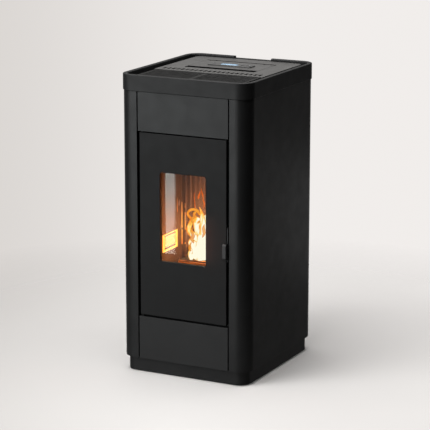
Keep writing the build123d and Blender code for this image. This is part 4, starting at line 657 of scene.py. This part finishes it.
def add_floor():
    """A round pale floor that fades into the background, keeps the stove's shadow, and has
    painted shade that darkens it towards the left.
    """
    paper = Finish("floor", FLOOR_COLOUR, 0.9)
    paper.set(paper.shader, {"Specular IOR Level": 0.1})
    paper.tint(paper.noise(0.5, 2.0), tuple(FLOOR_CLOUDS * c for c in FLOOR_COLOUR))
    # painted shade, darker towards the left
    across = paper.node("ShaderNodeVectorMath", {1: ACROSS}, operation="DOT_PRODUCT")
    paper.link(paper.place, across.inputs[0])
    paper.tint(across.outputs["Value"], FLOOR_LEFT_SHADE, *FLOOR_LEFT_SHADE_SPREAD)
    reach = paper.node("ShaderNodeVectorMath", operation="LENGTH")
    paper.link(paper.place, reach.inputs[0])
    clear = paper.node("ShaderNodeBsdfTransparent")
    blend = paper.node("ShaderNodeMixShader")
    paper.link(paper.ramp(reach.outputs["Value"], FLOOR_SOLID * FLOOR_RADIUS, FLOOR_RADIUS),
               blend.inputs["Fac"])
    paper.link(paper.shader.outputs[0], blend.inputs[1])
    paper.link(clear.outputs[0], blend.inputs[2])
    paper.link(blend.outputs[0], paper.output.inputs["Surface"])
    bm = bmesh.new()
    bmesh.ops.create_circle(bm, cap_ends=True, segments=96, radius=FLOOR_RADIUS)
    mesh = bpy.data.meshes.new("floor")
    bm.to_mesh(mesh)
    bm.free()
    floor = bpy.data.objects.new("floor", mesh)
    floor.data.materials.append(paper.material)
    bpy.context.collection.objects.link(floor)
    floor.visible_glossy = False


def add_lights():
    """Soft studio light, the strips that the window and the side mirror, and firelight.

    Each softbox is given its place, what it faces, its width and height, and its radiance."""
    softbox("key", (-1.5, -2.4, 3.0), STOVE_MIDDLE, (1.9, 1.9), 4.5)
    softbox("overhead", (0, 0, 3.6), (0, 0.001, 0), (2.6, 2.6), 4.6)
    softbox("over_front", (-0.3, -1.6, 3.4), (0, -0.5, 0), (2.0, 1.2), 4.2)
    softbox("low_left", (-1.9, -2.6, 1.0), (0, -0.2, 0.5), (1.0, 1.5), 6.2)
    softbox("low_front", (-0.62, -2.6, 0.26), (0, -0.2, 0.2), (0.8, 0.4), 9.5)
    # mirrored in the window as a pale stripe with a fainter one beside it
    softbox("strip", (-0.7824, -1.61, 0.64), (-0.0580, -0.27, 0.64), (0.0375, 1.16), 11.0,
            STRIP_LIGHT)
    softbox("strip_edge", (-0.7588, -1.61, 0.64), (-0.0386, -0.27, 0.64), (0.010, 1.16), 4.5,
            STRIP_LIGHT)
    # mirrored in the right side
    softbox("side_strip", (0.56, 1.30, 0.25), (0.25, 0.25, 0.25), (0.4, 0.5), 0.44)
    # firelight on the window's reveal and on the door beside it
    softbox("reveal_glow", (-0.055, -0.2725, 0.585), (-0.09, -0.2725, 0.585), (0.009, 0.30),
            12.0, REVEAL_LIGHT, glossy=False)
    softbox("door_glow", (0.078, -0.300, 0.515), (0.150, -0.2665, 0.515), (0.02, 0.15),
            9.0, DOOR_LIGHT, glossy=False)
    fire = bpy.data.lights.new("fire_light", "POINT")
    fire.energy = FIRE_WATTS
    fire.color = FIRE_LIGHT
    fire.shadow_soft_size = 0.03
    lamp = bpy.data.objects.new("fire_light", fire)
    lamp.location = (0.0, -0.145, 0.50)
    lamp.visible_camera = False
    lamp.visible_glossy = False
    lamp.visible_transmission = False
    bpy.context.collection.objects.link(lamp)


# ---------------- fire pieces
def tongue(bm, stations, seed, wobble):
    """Adds one tongue of flame: a closed tube along its centreline, with a restless surface."""
    chance = random.Random(seed)
    phases = [chance.uniform(0, 2 * math.pi) for _ in range(3)]
    path = smooth_path([tuple(v * MM for v in s) for s in stations], TONGUE_STEPS)
    rings = []
    for index, (x, y, z, radius) in enumerate(path):
        t = index / (len(path) - 1)
        ahead = path[min(index + 1, len(path) - 1)]
        behind = path[max(index - 1, 0)]
        along = Vector(ahead[:3]) - Vector(behind[:3])
        along.normalize()
        side = along.cross(Vector((0, 1, 0))).normalized()
        depth = side.cross(along)
        ring = []
        for step in range(TONGUE_SIDES):
            angle = 2 * math.pi * step / TONGUE_SIDES
            ripple = (math.sin(3 * angle + phases[0] + 9 * t)
                      + math.sin(2 * angle + phases[1] - 7 * t)
                      + 0.6 * math.sin(5 * angle + phases[2] + 15 * t))
            r = max(radius, TONGUE_TIP) * (1 + wobble * ripple)
            ring.append(bm.verts.new(Vector((x, y, z)) + side * (r * math.cos(angle))
                                     + depth * (TONGUE_DEPTH * r * math.sin(angle))))
        rings.append(ring)
    join_rings(bm, rings)


def add_flame(name, tongues, material, seed, wobble, merge=0.0):
    """A flame of several tongues; merge is the fineness at which they melt into one surface."""
    bm = bmesh.new()
    for index, stations in enumerate(tongues.values()):
        tongue(bm, stations, seed + index, wobble)
    made = mesh_object(name, bm, material, smooth=True)
    if merge:
        melt = made.modifiers.new("melt", "REMESH")
        melt.mode = "VOXEL"
        melt.voxel_size = merge
        melt.use_smooth_shade = True
        relax = made.modifiers.new("relax", "SMOOTH")
        relax.factor = 0.5
        relax.iterations = 4
    made.visible_shadow = False
    made.visible_diffuse = False
    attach(made, "fire_pot")


def add_fire():
    """The fire: a pale body, orange curls and thin veils before and above it."""
    white = flame("flame_white", (1.0, 0.98, 0.80), (1.0, 0.66, 0.10), (0.95, 0.22, 0.01),
                  1.08, (0.40, 0.60, 0.88), drift=(-8.0, 0.0, 4.4), level=-2.08)
    orange = flame("flame_orange", (1.0, 0.46, 0.05), (0.85, 0.24, 0.015), (0.55, 0.09, 0.005),
                   0.9, (0.25, 0.48, 0.78), solid=0.95)
    veil = flame("flame_veil", (1.0, 0.42, 0.04), (0.90, 0.26, 0.015), (0.70, 0.13, 0.006),
                 0.9, (0.25, 0.48, 0.78), solid=0.62)
    wisp = flame("flame_wisp", (0.72, 0.17, 0.01), (0.48, 0.09, 0.008), (0.28, 0.05, 0.004),
                 0.85, (0.30, 0.50, 0.75), solid=0.62)
    add_flame("flame_body", BODY_TONGUES, white, 3, 0.10, 1.8 * MM)
    add_flame("flame_curl", CURL_TONGUES, orange, 40, 0.13, 1.2 * MM)
    add_flame("flame_veils", VEIL_TONGUES, veil, 60, 0.12)
    add_flame("flame_wisps", WISP_TONGUES, wisp, 80, 0.08)


def pellet(bm, place, direction, length, radius, sides=8):
    """Adds one wood pellet: a short rod with chamfered ends."""
    along = direction.normalized()
    side = along.orthogonal().normalized()
    other = along.cross(side)
    rings = []
    for share, scale in ((-0.5, 0.7), (-0.42, 1.0), (0.42, 1.0), (0.5, 0.7)):
        ring = []
        for k in range(sides):
            angle = 2 * math.pi * k / sides
            ring.append(bm.verts.new(place + along * (share * length)
                                     + side * (radius * scale * math.cos(angle))
                                     + other * (radius * scale * math.sin(angle))))
        rings.append(ring)
    join_rings(bm, rings)


def add_pellet_bed():
    """Burning pellets heaped in the pot, on a bed of ash."""
    chance = random.Random(7)
    half_x = 0.0345
    front, back = -0.172, -0.112
    middle = (front + back) / 2
    bed_top = POT_TOP - 0.030
    pellet_radius, shortest, longest = 0.003, 0.009, 0.016
    lowest_layer, fewer, narrower = 30, 6, 0.2      # pellets, and what each layer above loses
    bm = bmesh.new()
    for layer in range(3):
        for _ in range(lowest_layer - fewer * layer):
            x = chance.uniform(-half_x, half_x) * (1 - narrower * layer)
            y = middle + chance.uniform(-0.5, 0.5) * (back - front) * (1 - narrower * layer)
            place = Vector((x, y, bed_top + 0.004 + 0.0055 * layer))
            turn = chance.uniform(0, math.pi)
            direction = Vector((math.cos(turn), math.sin(turn), chance.uniform(-0.25, 0.25)))
            reach = min(half_x - abs(x), (back - front) / 2 - abs(y - middle))
            length = min(chance.uniform(shortest, longest), 0.007 + 2 * max(reach, 0))
            pellet(bm, place, direction, length, pellet_radius)
    coals = mesh_object("embers", bm, ember(), smooth=True)
    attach(coals, "fire_pot")

    cells = 24
    ash_half_x, ash_half_y, ash_crown, ash_grain = 0.0395, 0.0375, 0.006, 0.0007
    ash_top, ash_bottom = bed_top - 0.003, bed_top - 0.012
    bm = bmesh.new()
    grid = []
    for j in range(cells + 1):
        row = []
        for i in range(cells + 1):
            u, v = 2 * i / cells - 1, 2 * j / cells - 1
            crown = ash_crown * (1 - u * u) * (1 - v * v)
            row.append(bm.verts.new((u * ash_half_x, middle + v * ash_half_y,
                                     ash_top + crown + chance.uniform(-ash_grain, ash_grain))))
        grid.append(row)
    for j in range(cells):
        for i in range(cells):
            bm.faces.new((grid[j][i], grid[j][i + 1], grid[j + 1][i + 1], grid[j + 1][i]))
    thick = bmesh.ops.extrude_face_region(bm, geom=bm.faces[:])
    for vertex in (v for v in thick["geom"] if isinstance(v, bmesh.types.BMVert)):
        vertex.co.z = ash_bottom
    bed = mesh_object("ash_bed", bm, ash(), smooth=True)
    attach(bed, "fire_pot")


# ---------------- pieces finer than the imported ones
HANDS = {-1: "left", 1: "right"}


def slab(bm, low, high):
    """Adds a thin plate or bar between two corners."""
    corners = [bm.verts.new((x, y, z)) for z in (low[2], high[2])
               for y in (low[1], high[1]) for x in (low[0], high[0])]
    for face in ((0, 2, 3, 1), (4, 5, 7, 6), (0, 1, 5, 4),
                 (2, 6, 7, 3), (0, 4, 6, 2), (1, 3, 7, 5)):
        bm.faces.new([corners[i] for i in face])


def soften(piece, width):
    """Rounds a piece's edges."""
    bevel = piece.modifiers.new("bevel", "BEVEL")
    bevel.width = width
    bevel.segments = 2
    bevel.limit_method = "ANGLE"


def slotted_cell(bm, x0, x1, y0, y1, bar, top, low, lips):
    """Adds one cell of the pressed sheet: a slot with slightly raised lips."""
    def ring(inset_x, inset_y, heights):
        places = ((x0 + inset_x, y0 + inset_y), (x1 - inset_x, y0 + inset_y),
                  (x1 - inset_x, y1 - inset_y), (x0 + inset_x, y1 - inset_y))
        return [bm.verts.new((x, y, z)) for (x, y), z in zip(places, heights)]

    rings = (ring(0, 0, [top] * 4), ring(bar / 2, bar / 2, [top + lip for lip in lips]),
             ring(bar / 2, bar / 2, [low] * 4), ring(0, 0, [low] * 4))
    join_rings(bm, rings, capped=False)


def add_grilles():
    """The warm-air outlet: two pressed sheets with staggered slots and a beaded seam."""
    low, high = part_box("air_grilles")
    top, under = high.z - 0.45 * MM, high.z - 1.6 * MM
    margin, wall, bar = 4.5 * MM, 1.4 * MM, 1.7 * MM
    seam = 0.25 * MM
    pitch_x, pitch_y = 7.4 * MM, 4.9 * MM
    lip_height = 0.4 * MM
    beads, first_bead, bead_pitch = 8, 12, 22     # the last two in millimetres
    bead_radius, bead_flatness = 1.5 * MM, 0.28
    corner_centre, corner_radius = Vector((202 * MM, -228.8 * MM)), 35.8 * MM
    for side, hand in HANDS.items():
        chance = random.Random(31 + side)
        bm = bmesh.new()
        x0, x1 = seam + margin, high.x - margin
        y0, y1 = low.y + margin, high.y - margin
        columns, rows = round((x1 - x0) / pitch_x), round((y1 - y0) / pitch_y)
        step_x, step_y = (x1 - x0) / columns, (y1 - y0) / rows
        for row in range(rows):
            near, far = y0 + row * step_y, y0 + (row + 1) * step_y
            shift = 0.5 * (row % 2)
            for column in range(columns - row % 2):
                left = x0 + (column + shift) * step_x
                lips = [chance.uniform(0, lip_height) for _ in range(4)]
                slotted_cell(bm, left, left + step_x, near, far, bar, top, under, lips)
            if row % 2:
                for left, right in ((x0, x0 + step_x / 2), (x1 - step_x / 2, x1)):
                    slab(bm, (left, near, under), (right, far, top))
        # the sheet's plain border, and its folded edges below that
        for inner_x0, inner_x1, inner_y0, inner_y1, z0, z1 in (
                (x0, x1, y0, y1, under, top),
                (seam + wall, high.x - wall, low.y + wall, high.y - wall, low.z, under)):
            slab(bm, (seam, low.y, z0), (high.x, inner_y0, z1))
            slab(bm, (seam, inner_y1, z0), (high.x, high.y, z1))
            slab(bm, (seam, inner_y0, z0), (inner_x0, inner_y1, z1))
            slab(bm, (inner_x1, inner_y0, z0), (high.x, inner_y1, z1))
        for index in range(beads):
            bead = bmesh.ops.create_uvsphere(bm, u_segments=10, v_segments=6, radius=bead_radius)
            for vertex in bead["verts"]:
                vertex.co = Vector((vertex.co.x + seam + margin / 2,
                                    vertex.co.y + low.y + (first_bead + bead_pitch * index) * MM,
                                    bead_flatness * vertex.co.z + top))
        # the outer corner follows the cover's rounded one
        for vertex in bm.verts:
            out = Vector((vertex.co.x, vertex.co.y)) - corner_centre
            if out.x > 0 > out.y and out.length > corner_radius:
                out *= corner_radius / out.length
                vertex.co.x, vertex.co.y = corner_centre.x + out.x, corner_centre.y + out.y
            vertex.co.x *= side
        bmesh.ops.remove_doubles(bm, verts=bm.verts, dist=0.001 * MM)
        if side < 0:
            bmesh.ops.reverse_faces(bm, faces=bm.faces)
        made = mesh_object("grille_" + hand, bm, GRILLE_COAT)
        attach(made, "stove")
        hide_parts("air_grilles")


def rounded_loop(half, low, high, radius, y, step):
    """Points, evenly apart, round an upright rectangle with rounded corners."""
    points = []
    for x, z, start in ((half, high, 0), (-half, high, 90), (-half, low, 180), (half, low, 270)):
        cx = x - math.copysign(radius, x)
        cz = z - radius if z == high else z + radius
        for k in range(13):       # a quarter turn in steps of 7.5 degrees
            angle = math.radians(start + 7.5 * k)
            points.append(Vector((cx + radius * math.cos(angle), y,
                                  cz + radius * math.sin(angle))))
    even = []
    carry = 0.0
    for first, second in zip(points, points[1:] + points[:1]):
        length = (second - first).length
        while carry < length:
            even.append(first.lerp(second, carry / length))
            carry += step
        carry -= length
    return even


def add_rope():
    """The braided rope seal behind the door: strands that cross over each other."""
    low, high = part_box("door_seal")
    radius, corner, step = (high.y - low.y) / 2, 22 * MM, 1.25 * MM
    path = rounded_loop(high.x - radius, low.z + radius, high.z - radius, corner,
                        (low.y + high.y) / 2, step)
    around, strands, pitch = 28, 5, 15 * MM
    valley, crest = 0.86, 0.135   # shares of the radius: between the strands, and their height
    turns = round(len(path) * step / pitch)
    bm = bmesh.new()
    rings = []
    for index, point in enumerate(path):
        along = (path[(index + 1) % len(path)] - path[index - 1]).normalized()
        side = Vector((0, 1, 0))
        other = along.cross(side)
        phase = 2 * math.pi * turns * index / len(path)
        ring = []
        for k in range(around):
            angle = 2 * math.pi * k / around
            one = math.cos(0.5 * (strands * angle + phase)) ** 2
            two = math.cos(0.5 * (strands * angle - phase)) ** 2
            r = radius * (valley + crest * max(one, two))
            ring.append(bm.verts.new(point + side * (r * math.cos(angle))
                                     + other * (r * math.sin(angle))))
        rings.append(ring)
    for index in range(len(rings)):
        first, second = rings[index], rings[(index + 1) % len(rings)]
        for k in range(around):
            after = (k + 1) % around
            bm.faces.new((first[k], second[k], second[after], first[after]))
    made = mesh_object("seal_rope", bm, FINISHES["rope"], smooth=True)
    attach(made, "door")
    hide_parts("door_seal")


def add_side_tiles():
    """Pale refractory tiles in narrow frames, on the firebox's sides beside the fire; their glow
    is painted firelight, and the near-black backing in their gaps is painted shade.
    """
    wall = 127.7 * MM
    y0, y1, z0, z1 = -193 * MM, -82 * MM, 428 * MM, 492 * MM
    post, sill, head = 13 * MM, 8 * MM, 4 * MM
    side_gap, low_gap, high_gap = 3 * MM, 6 * MM, 5 * MM
    in_y0, in_y1, in_z0, in_z1 = y0 + post, y1 - post, z0 + sill, z1 - head
    # painted firelight: the tiles glow, and their frames glow brighter as lit edges
    tile_coat = tile_with_painted_firelight("tile_painted_firelight", (1.0, 0.50, 0.10), (1.0, 0.70, 0.22), 0.42)
    frame_coat = tile_with_painted_firelight("frame_painted_firelight", (1.0, 0.36, 0.02), (1.0, 0.62, 0.06), 1.0)
    # each piece's plates as y, z, y, z of two corners
    pieces = (
        ("side_tile_", tile_coat, 2 * MM,
         [(in_y0 + side_gap, in_z0 + low_gap, in_y1 - side_gap, in_z1 - high_gap)]),
        ("tile_frame_", frame_coat, 3 * MM,
         [(y0, z0, in_y0, z1), (in_y1, z0, y1, z1),
          (in_y0, z0, in_y1, in_z0), (in_y0, in_z1, in_y1, z1)]),
        ("tile_gap_shade_", GAP_SHADE, 0.6 * MM, [(in_y0, in_z0, in_y1, in_z1)]))
    for side, hand in HANDS.items():
        for name, coat, depth, plates in pieces:
            near, far = sorted((side * wall, side * (wall - depth)))
            bm = bmesh.new()
            for low_y, low_z, high_y, high_z in plates:
                slab(bm, (near, low_y, low_z), (far, high_y, high_z))
            piece = mesh_object(name + hand, bm, coat)
            soften(piece, 0.6 * MM)
            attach(piece, "stove")


# Painted reflections of the fire: strips as x, y, their depths along both, and their lower and
# upper ends, in millimetres.
FIRE_GLINT_STRIPS = (
    (127.6, -45.8, 2.4, 1.4, 428, 482), (127.6, -45.8, 2.4, 1.4, 490, 585),
    (114.4, -45.5, 1.8, 0.6, 430, 436), (114.4, -45.5, 1.8, 0.6, 484, 548),
    (114.4, -45.5, 1.8, 0.6, 564, 582),
    (127.6, -80.0, 0.6, 2.0, 450, 492), (127.6, -80.0, 0.6, 2.0, 556, 606))
GLINT_FADE_HEIGHTS = (0.500, 0.590)     # heights between which their glow fades


def add_painted_fire_glints():
    """Thin glowing strips on the ribs and in the firebox's corners: painted reflections of the
    fire, lines of firelight.
    """
    coat = Finish("painted_fire_glint", (0.30, 0.16, 0.05), 0.3)
    place = coat.node("ShaderNodeSeparateXYZ")
    coat.link(coat.place, place.inputs[0])
    # painted reflections of the fire: the strips glow yellow to orange, dark above
    heat = coat.mix(coat.ramp(coat.noise(11 * MM, 2.0, (1, 1, 3)), 0.36, 0.62),
                    (0.80, 0.22, 0.02), (1.0, 0.62, 0.12))
    coat.shine(coat.mix(coat.ramp(place.outputs["Z"], *GLINT_FADE_HEIGHTS), heat, (0.10, 0.03, 0.01)),
               1.25)
    for side, hand in HANDS.items():
        bm = bmesh.new()
        for x, y, depth_x, depth_y, z0, z1 in FIRE_GLINT_STRIPS:
            near, far = sorted((side * x * MM, side * (x - depth_x) * MM))
            slab(bm, (near, y * MM, z0 * MM), (far, (y + depth_y) * MM, z1 * MM))
        strip = mesh_object("painted_fire_glint_" + hand, bm, coat.material)
        soften(strip, 0.2 * MM)
        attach(strip, "stove")


# Heights of the plate that the lid lies in, of the strips of painted shade on it, and of the
# flange under its slot.
PLATE_TOP = 1072.8 * MM
SHADE_STRIP_TOP = 1073.3 * MM
FLANGE = 1052.1 * MM


def add_painted_slot_shade():
    """Near-black strips of painted shade in the lid's finger slot, and before, on and behind the
    lid.
    """
    low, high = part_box("hopper_lid")
    left, right = low.x, high.x
    for name, body, corner, other in (
            ("lid_gap_shade", "lid",
             (left + 0.5 * MM, low.y - 0.7 * MM, 1065.0 * MM),
             (right - 0.5 * MM, low.y - 0.1 * MM, 1072.9 * MM)),
            ("lid_front_shade", "lid",
             (left + 0.5 * MM, low.y - 0.1 * MM, PLATE_TOP),
             (right - 0.5 * MM, low.y + 5.5 * MM, SHADE_STRIP_TOP)),
            ("slot_front_shade", "stove",
             (left - 1 * MM, 0.2 * MM, PLATE_TOP),
             (right + 1 * MM, 3.1 * MM, SHADE_STRIP_TOP)),
            ("slot_floor_shade", "stove",
             (left + 1 * MM, 3.6 * MM, FLANGE),
             (right - 1 * MM, 22.6 * MM, FLANGE + 1.5 * MM)),
            ("rear_gap_shade", "stove",
             (left + 1 * MM, 185.7 * MM, 1062 * MM),
             (right - 1 * MM, 186.8 * MM, PLATE_TOP))):
        bm = bmesh.new()
        slab(bm, corner, other)
        strip = mesh_object(name, bm, SLOT_SHADE)
        soften(strip, 0.2 * MM)
        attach(strip, body)


# Which of its seven strokes each digit lights, and how thick every mark on the lid is.
SEGMENTS = {"0": "abcdef", "2": "abged"}
MARK = 0.1 * MM
# The bars of each button's mark, as x, y, x, y of two corners, in millimetres from its middle.
BUTTON_BARS = (
    ((-0.35, 0.6, 0.35, 3.2),),
    ((-2.4, -0.4, 2.4, 0.4),),
    ((-2.4, -0.4, 2.4, 0.4), (-0.4, -2.4, 0.4, -0.4), (-0.4, 0.4, 0.4, 2.4)),
    tuple((-2.2, 1.7 * row - 0.35, 2.2, 1.7 * row + 0.35) for row in (-1, 0, 1)))


def digit(bm, text, x, y, z, width, height, stroke):
    """Adds one seven-segment digit, with its lower left corner at x, y."""
    half = height / 2
    places = {"a": (0, height, 1), "g": (0, half, 1), "d": (0, 0, 1),
              "f": (0, half, 0), "b": (width, half, 0), "e": (0, 0, 0), "c": (width, 0, 0)}
    gap = 0.25 * stroke
    for name in SEGMENTS[text]:
        dx, dy, flat = places[name]
        cx, cy = x + dx, y + dy
        if flat:
            low, high = (cx + gap, cy - stroke / 2), (cx + (width - gap), cy + stroke / 2)
        else:
            low, high = (cx - stroke / 2, cy + gap), (cx + stroke / 2, cy + (half - gap))
        slab(bm, (*low, z), (*high, z + MARK))


def arc_mark(bm, x, y, z, radius, stroke, start, end):
    """Adds a flat arc, with its thickness upwards."""
    steps = 20
    rings = []
    for step in range(steps + 1):
        angle = start + (end - start) * step / steps
        turn = (math.cos(angle), math.sin(angle))
        rings.append([bm.verts.new((x + r * turn[0], y + r * turn[1], z + h))
                      for r, h in ((radius, 0), (radius + stroke, 0),
                                   (radius + stroke, MARK), (radius, MARK))])
    join_rings(bm, rings)


def add_display_marks():
    """Lit digits on the pane and pale marks on the buttons."""
    low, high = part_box("display_window")
    width, height, stroke = 7 * MM, 12 * MM, 1.6 * MM
    bm = bmesh.new()
    y = (low.y + high.y) / 2 - 6 * MM
    middle = (low.x + high.x) / 2
    for text, shift in (("2", -11 * MM), ("0", 1 * MM)):
        digit(bm, text, middle + shift, y, high.z, width, height, stroke)
    for step in range(4):         # the rising bars beside the digits
        x = middle + (14 + 3 * step) * MM
        slab(bm, (x, y, high.z), (x + 1.8 * MM, y + (3 + 3 * step) * MM, high.z + MARK))
    bright = glow("lit_segments", (0.42, 0.60, 0.78), 0.6)
    segments = mesh_object("display_segments", bm, bright)
    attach(segments, "lid")

    pale = glow("pale_marks", (0.50, 0.51, 0.52), 0.15)
    for index, bars in enumerate(BUTTON_BARS):
        low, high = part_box(f"control_button_{index + 1}")
        x, y, z = (low.x + high.x) / 2, (low.y + high.y) / 2, high.z
        bm = bmesh.new()
        if index == 0:            # the broken ring of the power mark
            arc_mark(bm, x, y, z, 2.4 * MM, 0.7 * MM, math.radians(125), math.radians(415))
        for x0, y0, x1, y1 in bars:
            slab(bm, (x + x0 * MM, y + y0 * MM, z), (x + x1 * MM, y + y1 * MM, z + MARK))
        mark = mesh_object(f"button_mark_{index + 1}", bm, pale)
        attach(mark, f"button_{index + 1}")


def main():
    bpy.context.scene.view_settings.view_transform = "Standard"
    dress_cad()
    add_camera()
    add_world()
    add_floor()
    add_lights()
    add_fire()
    add_pellet_bed()
    add_side_tiles()
    add_painted_fire_glints()
    add_grilles()
    add_rope()
    add_display_marks()
    add_painted_slot_shade()


main()
